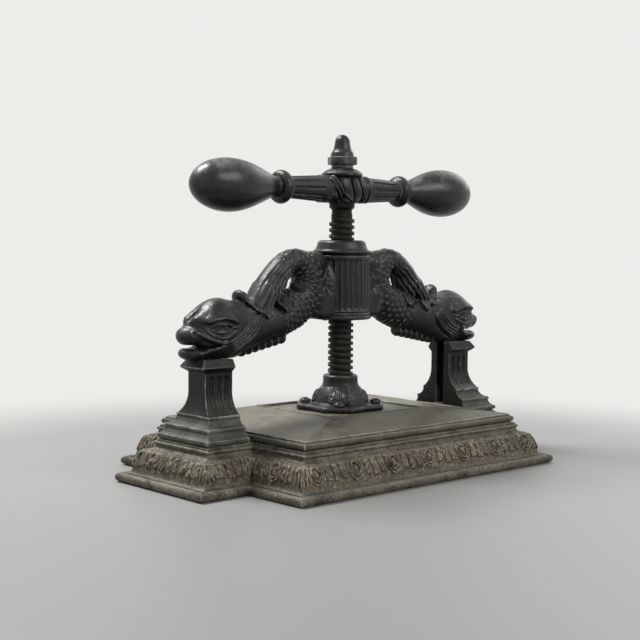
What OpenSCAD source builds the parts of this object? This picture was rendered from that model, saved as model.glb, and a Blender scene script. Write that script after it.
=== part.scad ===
// Iron copying press with a dolphin arch.
// Millimetres. The origin is on the screw axis, at the table. +X runs along the arch, -Y is the front.

/* [Platen] */
// Length of the platen, along the arch
platen_l = 298; // [260:1:330]
// Width of the platen, front to back
platen_w = 223; // [190:1:250]
// Height of the rounded rim of the platen
platen_rim_h = 6; // [4:0.5:8]
// Height of the fillet above the rim
platen_fillet_h = 2; // [1:0.5:4]
// How far the slope starts inside the rim
platen_fillet_in = 4.5; // [3:0.5:8]
// Height of the ridge above the underside
platen_h = 16.7; // [13:0.1:24]
// Length of the ridge frame on top
ridge_l = 130; // [110:1:160]
// Width of the ridge frame on top
ridge_w = 118; // [110:1:140]
// Width of the ridge itself
ridge_t = 3; // [2:0.5:6]
// Depth of the panel inside the ridge
panel_sink = 1.5; // [0.5:0.1:3]

/* [Base] */
// Margin of the bed around the platen
bed_margin = 1; // [0:0.5:4]
// Height of the bed above the table
base_h = 43; // [38:0.5:56]
// How far the toe stands out past the bed
base_spread = 29; // [27:0.5:36]
// Height of the toe
toe_h = 9; // [7:0.5:12]
// Rounding of the toe
toe_r = 4.4; // [2:0.2:6]
// Radius of the hollow above the toe
scotia_r = 5.2; // [3:0.2:7]
// How far the egg band swells out from top to bottom
band_out = 7.5; // [5:0.5:10]
// Height of the small mouldings above the egg band
cornice_h = 11.7; // [9.5:0.1:15]
// How far the small mouldings stand out past the bed
cornice_out = 8.2; // [6:0.1:11]
// Height of the plain fillet at the bed edge
cornice_fillet_h = 2.4; // [1.5:0.1:4]
// Radius of the bead under the fillet
bead_r = 1.7; // [1:0.1:2.2]
// Wall of the hollow casting
base_wall = 9; // [6:0.5:12]
// Thickness of the bed
bed_t = 10; // [8:0.5:14]

/* [Columns] */
// Gap from the end of the platen to the column
column_gap = 5.5; // [3:0.5:12]
// Depth of the shaft, along the arch
shaft_d = 31.5; // [28:0.5:40]
// Width of the shaft, front to back
shaft_w = 26.6; // [24:0.2:34]
// Height of the column, from the bed to the top of the capital
column_h = 77.5; // [70:0.5:110]
// Height of the stepped foot
foot_h = 25.5; // [22:0.5:32]
// How far the stepped foot stands out past the flare
foot_out = 15.5; // [13:0.5:20]
// Radius of the flare above the foot
flare_r = 26.3; // [18:0.1:30]
// Angle that the flare turns through
flare_angle = 55; // [40:1:65]
// Share of the flare that the outer face has
flare_outer = 0.27; // [0.1:0.01:0.6]
// Height of the capital
capital_h = 12; // [9:0.5:16]
// How far the capital stands out
capital_out = 5; // [3:0.5:9]
// Number of flutes on the front and the back
flute_count = 3; // [2:1:4]
// Width of a flute
flute_w = 5; // [3:0.5:6]
// Depth of a flute
flute_depth = 1.6; // [0.8:0.1:2.5]
// Width of the guide groove
groove_w = 12; // [9:0.5:14]
// Depth of the guide groove
groove_d = 7; // [5:0.5:8]

/* [Dolphins] */
// Rise from the top of the capital to the bottom of the nut flange
arch_rise = 31.9; // [26:0.1:40]
// Length of the head, from the middle of the column to the snout
head_l = 38.5; // [34:0.5:44]
// Height of the head above the capital
head_h = 58; // [52:0.5:66]
// Width of the head
head_w = 44; // [38:0.5:50]
// Width of the body behind the head
neck_w = 37; // [32:0.5:42]
// Width of the tail over the loop
tail_w = 27; // [22:0.5:32]
// Number of teeth on the belly fin
fin_teeth = 10; // [9:1:14]
// Thickness of the belly fin
fin_w = 14; // [10:0.5:18]

/* [Boss] */
// Diameter of the fluted boss
boss_d = 58; // [52:0.5:66]
// Height of the fluted boss
boss_h = 58.7; // [52:0.1:70]
// Width of the seats for the dolphins
seat_w = 24; // [20:0.5:28]
// How far the seats stand out of the boss
seat_out = 1; // [0.5:0.1:3]
// Flutes on each side of the boss
boss_flutes = 9; // [5:2:11]
// Angle from one flute to the next
boss_flute_step = 12.5; // [11:0.1:14]
// Radius of a flute on the boss
boss_flute_r = 2; // [1:0.1:2.2]
// Height of the domed cap
cap_h = 15; // [12:0.1:20]
// Diameter of the nut flange
flange_d = 63; // [56:0.5:70]
// Thickness of the nut flange
flange_t = 7.3; // [5:0.1:10]
// Diameter of the nut inside the boss
nut_d = 40; // [36:0.5:44]

/* [Screw] */
// Diameter of the screw over its thread
screw_d = 26; // [22:0.2:28]
// Length of screw that shows between the boss cap and the collar
screw_show = 26.6; // [20:0.1:40]
// Height of the neck under the collar
screw_neck_h = 6.7; // [4:0.1:10]
// Height of the collar under the handle
collar_h = 6.3; // [4:0.1:10]
// Diameter of the foot that turns in the socket
foot_d = 34; // [31:0.5:37]
// Thickness of the foot
foot_t = 6; // [5:0.5:9]
// Side of the square that the handle sits on
square_s = 15; // [12:0.5:17]
// Diameter of the thread under the top nut
stud_d = 14; // [10:0.5:14.5]

/* [Socket] */
// Width of the eight-sided plate
plate_w = 84; // [78:1:90]
// Length cut off each corner of the plate
plate_cut = 20; // [16:0.5:24]
// Thickness of the plate at its edge
plate_t = 6; // [4:0.5:8]
// Diameter of the bell where it meets the plate
bell_d = 56; // [52:0.5:60]
// Height of the bell above the plate edge
bell_h = 18.8; // [14:0.1:24]
// Diameter of the neck of the socket
socket_neck_d = 36.5; // [34.5:0.1:40]
// Height of the neck of the socket
socket_neck_h = 10.9; // [8:0.1:16]
// Half the spacing of the four bolts
bolt_at = 26; // [25:0.5:28]
// Diameter of a bolt head
bolt_head_d = 12.5; // [10:0.5:14]
// Height of a bolt head
bolt_head_h = 6.5; // [4:0.1:8]
// Diameter of a bolt
bolt_d = 7; // [5:0.5:8]
// Depth of a bolt in the platen
bolt_deep = 8; // [5:0.5:11]

/* [Handle] */
// Height of the handle hub
hub_h = 29; // [27:0.5:34]
// Half the length of the hub, along the bar
hub_half = 31; // [26:0.5:36]
// Diameter of the hub round the bar
hub_d = 29; // [27:0.5:32]
// Diameter of the arms at the hub
arm_d = 22; // [20:0.2:25]
// Distance from the screw axis to the bead
bead_at = 83.5; // [76:0.5:95]
// Diameter of the bead
bead_d = 32; // [28:0.5:36]
// Width of the bead
bead_w = 12.6; // [9:0.1:15]
// Length of a knob
knob_l = 102.7; // [90:0.1:120]
// Diameter of a knob
knob_d = 52; // [46:0.5:58]
// Diameter of a knob where it meets the bead
knob_neck_d = 20.5; // [17:0.5:24]
// Distance from the knob tip to its fattest place
knob_fat_at = 42; // [34:0.5:48]
// Diameter of the spigot inside a knob
spigot_d = 12; // [8:0.5:14]
// Length of the spigot inside a knob
spigot_l = 24; // [16:0.5:32]
// Height of the cap on the hub
hub_cap_h = 6; // [4:0.5:9]
// Diameter of the cap on the hub
hub_cap_d = 40; // [34:0.5:44]
// Height of the top nut
finial_h = 34.6; // [30:0.1:44]
// Height of the hexagon on the top nut
hex_h = 8.3; // [6:0.1:10]
// Width of the hexagon over its corners
hex_d = 30.6; // [26:0.2:34]
// Diameter of the dome of the top nut
dome_d = 16.6; // [15.8:0.1:22]

/* [Fasteners] */
// Diameter of the tie bolts through the columns
tie_d = 12; // [8:0.5:13]
// How far a tie bolt goes into a dolphin
tie_deep = 20; // [12:0.5:26]
// Thickness of the tie bolt nuts
tie_nut_t = 10; // [7:0.5:11]
// Width of the tie bolt nuts over their corners
tie_nut_d = 22; // [18:0.5:24]
// Thickness of the tie bolt washers
tie_washer_t = 2.5; // [1.5:0.5:4]
// Diameter of the tie bolt washers
tie_washer_d = 26; // [22:0.5:30]
// Diameter of the screw that locks the nut
lock_d = 6; // [4:0.5:8]

/* [Fits] */
// Gap under the closed platen
bed_gap = 0.3; // [0.2:0.05:1]
// Radial room for the screw in its nut and socket
screw_fit = 0.05; // [0.02:0.01:0.1]
// Room round the foot of the screw
foot_fit = 0.3; // [0.2:0.05:0.6]
// Room each side of the tongues in their grooves
tongue_fit = 0.5; // [0.3:0.1:1]
// Room round bolts, spigots and squares
bolt_fit = 0.15; // [0.05:0.05:0.3]

/* [Hidden] */
$fn = 64;
IRON = "#3a3a3a";
DUSTY = "#6b6a61";
STEEL = "#55534f";

// Heights
platen_z = base_h + bed_gap;
ridge_z = platen_z + platen_h;
panel_z = ridge_z - panel_sink;
capital_z = base_h + column_h;
flange_z = capital_z + arch_rise;
boss_z = flange_z + flange_t;
cap_z = boss_z + boss_h;
cap_top = cap_z + cap_h;
collar_z = cap_top + screw_show + screw_neck_h;
hub_z = collar_z + collar_h;
bar_z = hub_z + hub_h * 0.475;
hub_cap_z = hub_z + hub_h;
finial_z = hub_cap_z + hub_cap_h;
plate_top = panel_z + plate_t;
bell_top = plate_top + bell_h;
socket_top = bell_top + socket_neck_h;
foot_z = panel_z + foot_fit;

// Places along the arch
column_in = platen_l / 2 + column_gap;
column_out = column_in + shaft_d;
column_mid = column_in + shaft_d / 2;
tie_x = column_in + groove_d + (shaft_d - groove_d) / 2;
flare_out = flare_r * (1 - cos(flare_angle));
flare_h = flare_r * sin(flare_angle);
pedestal_half_l = column_out + flare_out * flare_outer + foot_out;
pedestal_half_w = shaft_w / 2 + flare_out + foot_out;
seat_x = boss_d / 2 + seat_out;
knob_x = bead_at + bead_w / 2;

// Points of an arc, from one angle to another
function arc(c, rx, ry, a, b, n) =
    [for (i = [0:n]) let (t = a + (b - a) * i / n) [c.x + rx * cos(t), c.y + ry * sin(t)]];

// Full outline from the profile of its right side, drawn from the top down
function both_sides(half, profile) = concat(
    [for (p = profile) [half + p.x, p.y]],
    [for (i = [len(profile) - 1:-1:0]) [-half - profile[i].x, profile[i].y]]);

// Outline from the profile of its right side, with a flat left side
function one_side(left, right, profile) = concat(
    [for (p = profile) [right + p.x, p.y]],
    [[left, profile[len(profile) - 1].y], [left, profile[0].y]]);

// Block with mitred corners: one outline seen from the front, one seen from the side
module mitred(front, side, reach) {
    intersection() {
        rotate([90, 0, 0]) linear_extrude(2 * reach, center = true) polygon(front);
        rotate([90, 0, 90]) linear_extrude(2 * reach, center = true) polygon(side);
    }
}

// Copies on both ends of the arch
module both_ends() {
    children();
    mirror([1, 0, 0]) children();
}

// Base: the moulding runs round the bed and round a pedestal at each end

band_z = toe_h + scotia_r;
band_top = base_h - cornice_h;
band_foot = cornice_out + band_out;
band_r = (pow(band_out, 2) + pow(band_top - band_z, 2)) / (2 * band_out);
bead_back = 0.6;
lip_h = 1.2;
cavetto_z = base_h - cornice_fillet_h - 2 * bead_r;
cavetto_x = cornice_out - lip_h;

base_profile = concat(
    [[0, base_h], [0, base_h - cornice_fillet_h]],
    arc([bead_back, cavetto_z + bead_r], bead_r, bead_r, 90, -90, 6),
    arc([cavetto_x, cavetto_z], cavetto_x - bead_back, cavetto_z - band_top - lip_h, 181, 270, 5),
    [[cornice_out, band_top + lip_h]],
    arc([band_foot - band_r, band_z], band_r, band_r, asin((band_top - band_z) / band_r), 0, 8),
    arc([band_foot + scotia_r, band_z], scotia_r, scotia_r, 180, 270, 6),
    arc([base_spread - toe_r, toe_h - toe_r], toe_r, toe_r, 90, 0, 6),
    [[base_spread, 0]]);

hollow_profile = [
    [cornice_out - base_wall, base_h - bed_t],
    [base_spread - 1.5 * base_wall, 0],
    [base_spread - 1.5 * base_wall, -1]];

module moulding_ring(profile) {
    reach = pedestal_half_l + base_spread + 1;
    bed_half_l = platen_l / 2 + bed_margin;
    bed_half_w = platen_w / 2 + bed_margin;
    mitred(both_sides(bed_half_l, profile), both_sides(bed_half_w, profile), reach);
    mitred(both_sides(pedestal_half_l, profile), both_sides(pedestal_half_w, profile), reach);
}

tie_boss_d = tie_washer_d + 6;
tie_seat_z = base_h - bed_t - 4;

module base() {
    color(DUSTY) difference() {
        union() {
            difference() {
                moulding_ring(base_profile);
                moulding_ring(hollow_profile);
            }
            both_ends() translate([tie_x, 0, tie_seat_z])
                cylinder(h = base_h - bed_t - tie_seat_z + 1, d = tie_boss_d);
        }
        both_ends() translate([tie_x, 0, 0]) cylinder(h = base_h + 1, d = tie_d + 2 * bolt_fit);
    }
}

// Columns: flat on the inner side, flared and stepped on the other three

step_h = foot_h / 3;
foot_top = base_h + foot_h;
flare_top = foot_top + flare_h;
capital_foot = capital_z - capital_h;
capital_edge_z = capital_foot + capital_h * 0.42;
step_back = 0.8;

// Profile of a column face, drawn from the top down, with its own share of the flare
function column_profile(share) = concat(
    [[1, capital_z], [capital_out, capital_edge_z]],
    [[capital_out - 0.6, capital_edge_z - 1], [0, capital_foot]],
    [for (p = arc([flare_r, flare_top], flare_r, flare_r, 180, 180 + flare_angle, 9)) [p.x * share, p.y]],
    [for (p = foot_profile()) [flare_out * share + p.x, p.y]]);

function foot_profile() = concat(
    [[0.6, foot_top], [0.6, foot_top - 1.5]],
    arc([foot_out * 0.5, foot_top - 2], foot_out * 0.5, step_h + 1, 180, 262, 5),
    [[foot_out * 0.5, foot_top - step_h - 4.5]],
    arc([foot_out * 0.55, base_h + step_h + 1.4], 3.4, 3.4, 80, -40, 6),
    [[foot_out - 3.2, base_h + step_h - 1.8]],
    arc([foot_out - 3.2, base_h + 3.2], 3.2, 3.2, 80, 0, 5),
    [[foot_out, base_h + 1.5], [foot_out - step_back, base_h]]);

// Flutes of a face: the band between the face and the same curve set in by the depth
module flutes(share) {
    low = foot_top + 4;
    high = capital_foot - 5;
    flare = arc([flare_r, flare_top], flare_r, flare_r, 180, 180 + flare_angle, 9);
    curve = concat([[0, high]], [for (p = flare) if (p.y > low) [p.x * share, p.y]]);
    last = curve[len(curve) - 1];
    band = concat(
        [for (p = curve) [p.x + 4, p.y]],
        [[last.x + 4, low], [last.x, low]],
        [for (i = [len(curve) - 1:-1:0])
            [curve[i].x - flute_depth, curve[i].y - (i == 0 ? flute_depth : 0)]]);
    pitch = shaft_d / (flute_count + 0.6);
    for (i = [0:flute_count - 1]) translate([column_mid + (i - (flute_count - 1) / 2) * pitch, 0, 0])
        rotate([90, 0, 90]) linear_extrude(flute_w, center = true)
            polygon([for (p = band) [shaft_w / 2 + p.x, p.y]]);
}

module column() {
    color(IRON) difference() {
        mitred(
            one_side(column_in, column_out, column_profile(flare_outer)),
            both_sides(shaft_w / 2, column_profile(1)),
            pedestal_half_l + 1);
        translate([column_in - 1, -groove_w / 2, base_h - 1]) cube([groove_d + 1, groove_w, column_h + 2]);
        translate([tie_x, 0, base_h - 1]) cylinder(h = column_h + 2, d = tie_d + 2 * bolt_fit);
        flutes(1);
        mirror([0, 1, 0]) flutes(1);
    }
}

module left_column() { mirror([1, 0, 0]) column(); }

module right_column() { column(); }

// Dolphins: a body swept from the head to the boss and back over itself, and the pieces of the head

// Smooth curve through stations of [out, up, half height, half width]
function between(st, i, t) = let (
    a = st[max(i - 1, 0)], b = st[i], c = st[i + 1], d = st[min(i + 2, len(st) - 1)])
    (2 * b + (c - a) * t + (2 * a - 5 * b + 4 * c - d) * pow(t, 2) + (3 * b - a - 3 * c + d) * pow(t, 3)) / 2;

function smooth(st, n) = concat(
    [for (i = [0:len(st) - 2]) for (k = [0:n - 1]) between(st, i, k / n)], [st[len(st) - 1]]);

function heading(s, i) = let (a = s[max(i - 1, 0)], b = s[min(i + 1, len(s) - 1)], d = [b.x - a.x, b.y - a.y])
    d / norm(d);

function ring(s, i, sides) = let (h = heading(s, i), c = s[i])
    [for (k = [0:sides - 1]) let (t = 360 * k / sides)
        [c.x - h.y * c[2] * cos(t), c[3] * sin(t), c.y + h.x * c[2] * cos(t)]];

module swept(stations, n, sides) {
    s = smooth(stations, n);
    skin([for (i = [0:len(s) - 1]) ring(s, i, sides)]);
}

module blob(at, size, n) { translate(at) scale(size) sphere(1, $fn = n); }

module limb(a, b, ra, rb, n) {
    hull() {
        translate(a) sphere(ra, $fn = n);
        translate(b) sphere(rb, $fn = n);
    }
}

loop_z = boss_z + boss_h / 2;
body_sides = 18;
body_rings = 3;

body_path = [
    [column_mid - 12, capital_z + head_h * 0.5, head_h * 0.47, head_w * 0.47],
    [column_mid - 42, capital_z + 30, 24, neck_w / 2 + 0.8],
    [seat_x + 74, capital_z + 33.5, 19.5, neck_w / 2],
    [seat_x + 51, loop_z - 30, 19.5, neck_w / 2 - 0.8],
    [seat_x + 30, loop_z - 20, 20, seat_w / 2 + 3],
    [seat_x + 16, loop_z - 2, 16.8, seat_w / 2 + 0.5],
    [seat_x + 20.5, loop_z + 16, 14.5, tail_w / 2],
    [seat_x + 33, loop_z + 23.5, 12.6, tail_w / 2]];

tail_path = [
    [seat_x + 25, loop_z + 20, 12.2, tail_w / 2 - 0.6],
    [seat_x + 35, loop_z + 23.8, 12.2, tail_w / 2],
    [seat_x + 46, loop_z + 21.2, 12, tail_w / 2],
    [seat_x + 56, loop_z + 13, 11.8, tail_w / 2 + 0.5],
    [seat_x + 64, loop_z + 1, 11.8, tail_w / 2 + 1.5],
    [seat_x + 72.5, loop_z - 11, 11.8, tail_w / 2 + 3],
    [seat_x + 84, loop_z - 24, 11, tail_w / 2 + 3]];

// Side view of the tail fin that lies over the neck: crest, then three lobes
fin_outline = [for (p = [
    [68, 12], [80, 2], [92, -7], [98, -6], [104, -3.5], [108, -5.5], [107, -10], [103, -16],
    [101.5, -21.5], [98.5, -24.5], [94, -24], [90.5, -22], [88, -27], [84, -31], [80, -29], [77, -24],
    [74.5, -25.5], [70.5, -30], [65.5, -29], [61, -23], [58, -14], [57, -4]])
    [seat_x + p.x, loop_z + p.y]];
fin_t = 3;

// Lines of the face, as [out, up] from the middle of the head
brow_line = [[24, 13], [20, 7.6], [15, 8.1], [8.9, 9.7], [0, 10.9], [-7.8, 9.1], [-15, 5.7]];
bag_line = [[17, 1], [9.6, -4.5], [-3, -6.5], [-15, -2]];
lip_line = [[24, -9], [16, -11.6], [8, -12.6], [0, -13.6]];
mouth_line = [[27, -16.5], [18.5, -17.6], [11.5, -16.8], [1.7, -15.2]];
chin_line = [[21, -22], [11, -20.6], [3, -18.6]];
eye_at = [3, 0.8];

function from_piece(p, a, b) = let (t = max(0, min(1, (p - a) * (b - a) / pow(norm(b - a), 2))))
    norm(p - a - (b - a) * t);

function from_line(p, line) = min([for (i = [0:len(line) - 2]) from_piece(p, line[i], line[i + 1])]);

function swell(d, width) = exp(-pow(d / width, 2));

// How far the skin of the head stands out at a place of the side view
function carving(p) =
    3.2 * swell(from_line(p, brow_line), 3.2) + 1.4 * swell(from_line(p, bag_line), 2.4)
    + 2.6 * swell(from_line(p, lip_line), 3) - 2.6 * swell(from_line(p, mouth_line), 2.4)
    + 2.2 * swell(from_line(p, chin_line), 3.6)
    - 1.6 * swell(norm([(p.x - eye_at.x) / 2, p.y - eye_at.y]), 5)
    + 2.8 * swell(norm([(p.x - eye_at.x) / 1.5, p.y - eye_at.y]), 2.8);

head_rings = 30;
head_sides = 52;
head_size = [head_l - 10, head_w / 2, head_h / 2 + 0.3];

// Skin of the head: rings from the back to the forehead, closer together on the cheeks
function head_ring(i) = let (f = -75 + 160 * i / head_rings)
    [for (k = [0:head_sides - 1]) let (
        t = 360 * k / head_sides,
        a = t + 16 * sin(2 * t),
        q = [sin(f), cos(f) * sin(a), cos(f) * cos(a)],
        p = [q.x * head_size.x, q.y * head_size.y, q.z * head_size.z],
        n = [q.x / head_size.x, q.y / head_size.y, q.z / head_size.z])
        p + n / norm(n) * carving([p.x, p.z]) * min(1, abs(q.y) * 2.5) * (1 - pow(max(q.x, 0), 3))];

module skin(rings) {
    last = len(rings) - 1;
    sides = len(rings[0]);
    walls = [for (i = [0:last - 1]) for (k = [0:sides - 1])
        let (a = i * sides + k, b = i * sides + (k + 1) % sides)
            each [[a, b, a + sides], [b, b + sides, a + sides]]];
    ends = [[for (k = [sides - 1:-1:0]) k], [for (k = [0:sides - 1]) last * sides + k]];
    polyhedron([for (r = rings) each r], concat(walls, ends));
}

module head() {
    translate([column_mid, 0, capital_z + head_h / 2]) {
        skin([for (i = [0:head_rings]) head_ring(i)]);
        // Snout and lower lip
        blob([head_l - 15, 0, -5.5], [15, 15, 9.6], 24);
        blob([head_l - 18, 0, -22.5], [15, 14.5, 6.8], 24);
    }
}

module belly_fin() {
    from = [column_mid - 39, capital_z + 6.2];
    to = [seat_x + 52.5, loop_z - 52.4];
    tooth_r = 3.2;
    for (i = [0:fin_teeth - 1]) {
        p = from + (to - from) * i / (fin_teeth - 1);
        hull() for (rise = [0, 9]) translate([p.x, 0, p.y + rise]) rotate([90, 0, 0])
            cylinder(h = fin_w, r = tooth_r, center = true, $fn = 12);
    }
}

module dolphin() {
    color(IRON) difference() {
        union() {
            swept(body_path, body_rings, body_sides);
            swept(tail_path, body_rings, body_sides);
            head();
            belly_fin();
            // Tail fin over the neck, and its curled crest
            intersection() {
                swept([for (c = body_path) c + [0, 0, fin_t, fin_t]], body_rings, body_sides);
                rotate([90, 0, 0]) linear_extrude(2 * head_w, center = true) polygon(fin_outline);
            }
            translate([seat_x + 95, 0, loop_z - 12]) rotate([0, -14, 0]) blob([0, 0, 0], [14, 10, 6.5], 18);
            // Shoulder against the boss cap
            limb([seat_x + 4, -3, loop_z + 28], [seat_x + 4, 3, loop_z + 28], 6.6, 6.6, 14);
        }
        // Flat seats on the capital and on the boss, and the hole for the tie bolt
        translate([0, -head_w, capital_z - head_h]) cube([column_out + head_l, 2 * head_w, head_h]);
        translate([0, -head_w, flange_z - head_h]) cube([seat_x, 2 * head_w, boss_h + 2 * head_h]);
        translate([tie_x, 0, capital_z - 1])
            cylinder(h = tie_deep + 2, d = tie_d + 4 * bolt_fit, $fn = 32);
    }
}

module left_dolphin() { mirror([1, 0, 0]) dolphin(); }

module right_dolphin() { dolphin(); }

// Boss: fluted housing of the nut, with a flat seat each side for a dolphin

module boss() {
    color(IRON) difference() {
        union() {
            translate([0, 0, boss_z]) cylinder(h = boss_h, d = boss_d);
            translate([-seat_x, -seat_w / 2, boss_z]) cube([2 * seat_x, seat_w, boss_h]);
        }
        translate([0, 0, boss_z - 1]) cylinder(h = boss_h + 2, d = nut_d + 2 * bolt_fit);
        for (side = [-90, 90]) for (i = [0:boss_flutes - 1])
            rotate([0, 0, side + (i - (boss_flutes - 1) / 2) * boss_flute_step])
                translate([boss_d / 2 + boss_flute_r * 0.35, 0, boss_z + 3])
                    cylinder(h = boss_h - 8, r = boss_flute_r);
        lock_hole();
    }
}

lock_z = boss_z + boss_h * 0.25;
lock_l = (boss_d - nut_d) / 2 + 2.5;

module lock_hole() {
    translate([0, nut_d / 2 - 3, lock_z]) rotate([-90, 0, 0])
        cylinder(h = boss_d / 2, d = lock_d + 2 * bolt_fit);
}

module boss_cap() {
    top_r = boss_d / 2 - 6;
    color(IRON) translate([0, 0, cap_z]) difference() {
        rotate_extrude() polygon(concat(
            [[screw_d / 2 + 1, 0], [boss_d / 2 - 1.5, 0], [boss_d / 2 - 1.5, 3]],
            [[boss_d / 2, 4], [boss_d / 2, 7]],
            arc([top_r, 7], boss_d / 2 - top_r, cap_h - 7, 0, 90, 6),
            [[screw_d / 2 + 1, cap_h]]));
        translate([0, 0, -1]) cylinder(h = cap_h + 2, d = screw_d + 2.4);
    }
}

module screw_nut() {
    bore = screw_d + 2 * screw_fit;
    color(STEEL) difference() {
        union() {
            rotate_extrude() polygon(concat(
                [[bore / 2 - 1, flange_z], [flange_d / 2 - 2, flange_z]],
                arc([flange_d / 2 - 2, flange_z + flange_t / 2], 2, flange_t / 2, -90, 90, 6),
                [[bore / 2 - 1, boss_z]]));
            translate([0, 0, boss_z - 1]) cylinder(h = boss_h, d = nut_d);
        }
        translate([0, 0, flange_z - 1]) cylinder(h = flange_t + boss_h + 2, d = bore);
        lock_hole();
    }
}

module nut_lock_screw() {
    color(STEEL) translate([0, nut_d / 2 - 2.5, lock_z]) rotate([-90, 0, 0]) cylinder(h = lock_l, d = lock_d);
}

// Tie bolts: hold base, column and dolphin together

module tie_bolt() {
    low = tie_seat_z - tie_washer_t - tie_nut_t - 3;
    color(STEEL) translate([tie_x, 0, low]) cylinder(h = capital_z + tie_deep - low, d = tie_d);
}

module left_tie_bolt() { mirror([1, 0, 0]) tie_bolt(); }

module right_tie_bolt() { tie_bolt(); }

module tie_washers() {
    color(STEEL) both_ends() translate([tie_x, 0, tie_seat_z - tie_washer_t]) difference() {
        cylinder(h = tie_washer_t, d = tie_washer_d);
        translate([0, 0, -1]) cylinder(h = tie_washer_t + 2, d = tie_d + 2 * bolt_fit);
    }
}

module tie_nuts() {
    color(STEEL) both_ends() translate([tie_x, 0, tie_seat_z - tie_washer_t - tie_nut_t]) difference() {
        cylinder(h = tie_nut_t, d = tie_nut_d, $fn = 6);
        translate([0, 0, -1]) cylinder(h = tie_nut_t + 2, d = tie_d + 2 * bolt_fit);
    }
}

// Platen: sloped top with a sunk panel, and a tongue at each end that runs in the column groove

rim_bulge = 1.4;
slope_z = platen_z + platen_rim_h + platen_fillet_h;

function platen_profile(slope) = concat(
    [[-platen_fillet_in - slope, ridge_z], [-platen_fillet_in, slope_z], [-platen_fillet_in + 1.2, slope_z],
        [-platen_fillet_in + 1.2, slope_z - platen_fillet_h]],
    arc([-rim_bulge, platen_z + platen_rim_h / 2], rim_bulge, platen_rim_h / 2, 90, -90, 8));

tongue_d = column_gap + groove_d - 1.5;
tongue_h = platen_rim_h + platen_fillet_h;

module platen() {
    slope_l = (platen_l - ridge_l) / 2 - platen_fillet_in;
    slope_w = (platen_w - ridge_w) / 2 - platen_fillet_in;
    inner_l = ridge_l - 2 * ridge_t;
    inner_w = ridge_w - 2 * ridge_t;
    tongue_root = 20;
    color(DUSTY) difference() {
        union() {
            mitred(
                both_sides(platen_l / 2, platen_profile(slope_l)),
                both_sides(platen_w / 2, platen_profile(slope_w)),
                platen_l);
            both_ends() translate([platen_l / 2 - tongue_root, -groove_w / 2 + tongue_fit, platen_z])
                cube([tongue_root + tongue_d, groove_w - 2 * tongue_fit, tongue_h]);
        }
        translate([-inner_l / 2, -inner_w / 2, panel_z]) cube([inner_l, inner_w, panel_sink + 1]);
        for (x = [-1, 1], y = [-1, 1]) translate([x * bolt_at, y * bolt_at, panel_z - bolt_deep])
            cylinder(h = bolt_deep + 1, d = bolt_d + 2 * bolt_fit);
    }
}

// Socket: eight-sided plate and bell that trap the foot of the screw

bolt_seat_z = plate_top + 0.5;

module eight_sided(w, cut) {
    h = w / 2;
    polygon([for (q = [0:3]) for (p = [[h, cut - h], [h, h - cut]])
        [p.x * cos(90 * q) - p.y * sin(90 * q), p.x * sin(90 * q) + p.y * cos(90 * q)]]);
}

module screw_socket() {
    corner_r = norm([plate_w / 2, plate_w / 2 - plate_cut]);
    bell_foot_z = plate_top + 4;
    neck_r = socket_neck_d / 2;
    foot_room = foot_d + 2 * foot_fit;
    color(IRON) difference() {
        union() {
            intersection() {
                translate([0, 0, panel_z]) linear_extrude(plate_t + bell_h) eight_sided(plate_w, plate_cut);
                rotate_extrude() polygon([
                    [0, panel_z], [corner_r - 1.5, panel_z], [corner_r + 1, panel_z + 2],
                    [corner_r + 1, plate_top - 1], [corner_r - 3, plate_top + 0.4],
                    [bell_d / 2, bell_foot_z], [0, bell_foot_z]]);
            }
            rotate_extrude() polygon(concat(
                [[0, panel_z], [bell_d / 2, panel_z], [bell_d / 2, bell_foot_z - 1]],
                arc([neck_r, bell_foot_z - 1], bell_d / 2 - neck_r, bell_top - bell_foot_z + 1, 0, 84, 8),
                [[neck_r, bell_top]],
                arc([neck_r - 3, socket_top - 3], 2.4, 3, 0, 90, 5),
                [[0, socket_top]]));
        }
        translate([0, 0, panel_z - 1]) cylinder(h = foot_fit * 2 + foot_t + 1, d = foot_room);
        translate([0, 0, panel_z]) cylinder(h = socket_top - panel_z + 1, d = screw_d + 2 * screw_fit);
        for (x = [-1, 1], y = [-1, 1]) translate([x * bolt_at, y * bolt_at, 0]) {
            translate([0, 0, bolt_seat_z]) cylinder(h = bell_h, d = bolt_head_d + 1);
            translate([0, 0, panel_z - 1]) cylinder(h = plate_t + 2, d = bolt_d + 2 * bolt_fit);
        }
    }
}

module socket_bolts() {
    head_r = bolt_head_d / 2;
    low = panel_z - bolt_deep - bolt_seat_z;
    color(IRON) for (x = [-1, 1], y = [-1, 1]) translate([x * bolt_at, y * bolt_at, bolt_seat_z])
        rotate_extrude() polygon(concat(
            [[0, low], [bolt_d / 2, low], [bolt_d / 2, 0], [head_r, 0]],
            arc([0, 1.5], head_r, bolt_head_h - 1.5, 0, 90, 8)));
}

// Screw: foot, thread, neck, collar, square and stud

module screw() {
    r = screw_d / 2;
    neck_z = collar_z - screw_neck_h;
    stud_top = finial_z + finial_h - dome_d / 2 - 3;
    color(STEEL) union() {
        rotate_extrude() polygon([
            [0, foot_z], [foot_d / 2 - 1, foot_z], [foot_d / 2, foot_z + 1], [foot_d / 2, foot_z + foot_t],
            [r, foot_z + foot_t], [r, neck_z], [r - 2.2, neck_z + 1.5], [r - 2.2, collar_z - 1.5],
            [r - 0.4, collar_z], [r, hub_z - 1], [r, hub_z], [0, hub_z]]);
        translate([-square_s / 2, -square_s / 2, hub_z - 1]) cube([square_s, square_s, hub_h]);
        translate([0, 0, hub_cap_z - 2]) cylinder(h = stud_top - hub_cap_z + 2, d = stud_d);
    }
}

// Handle: hub on the square, two reeded arms, each with a bead and a spigot for its knob

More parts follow.
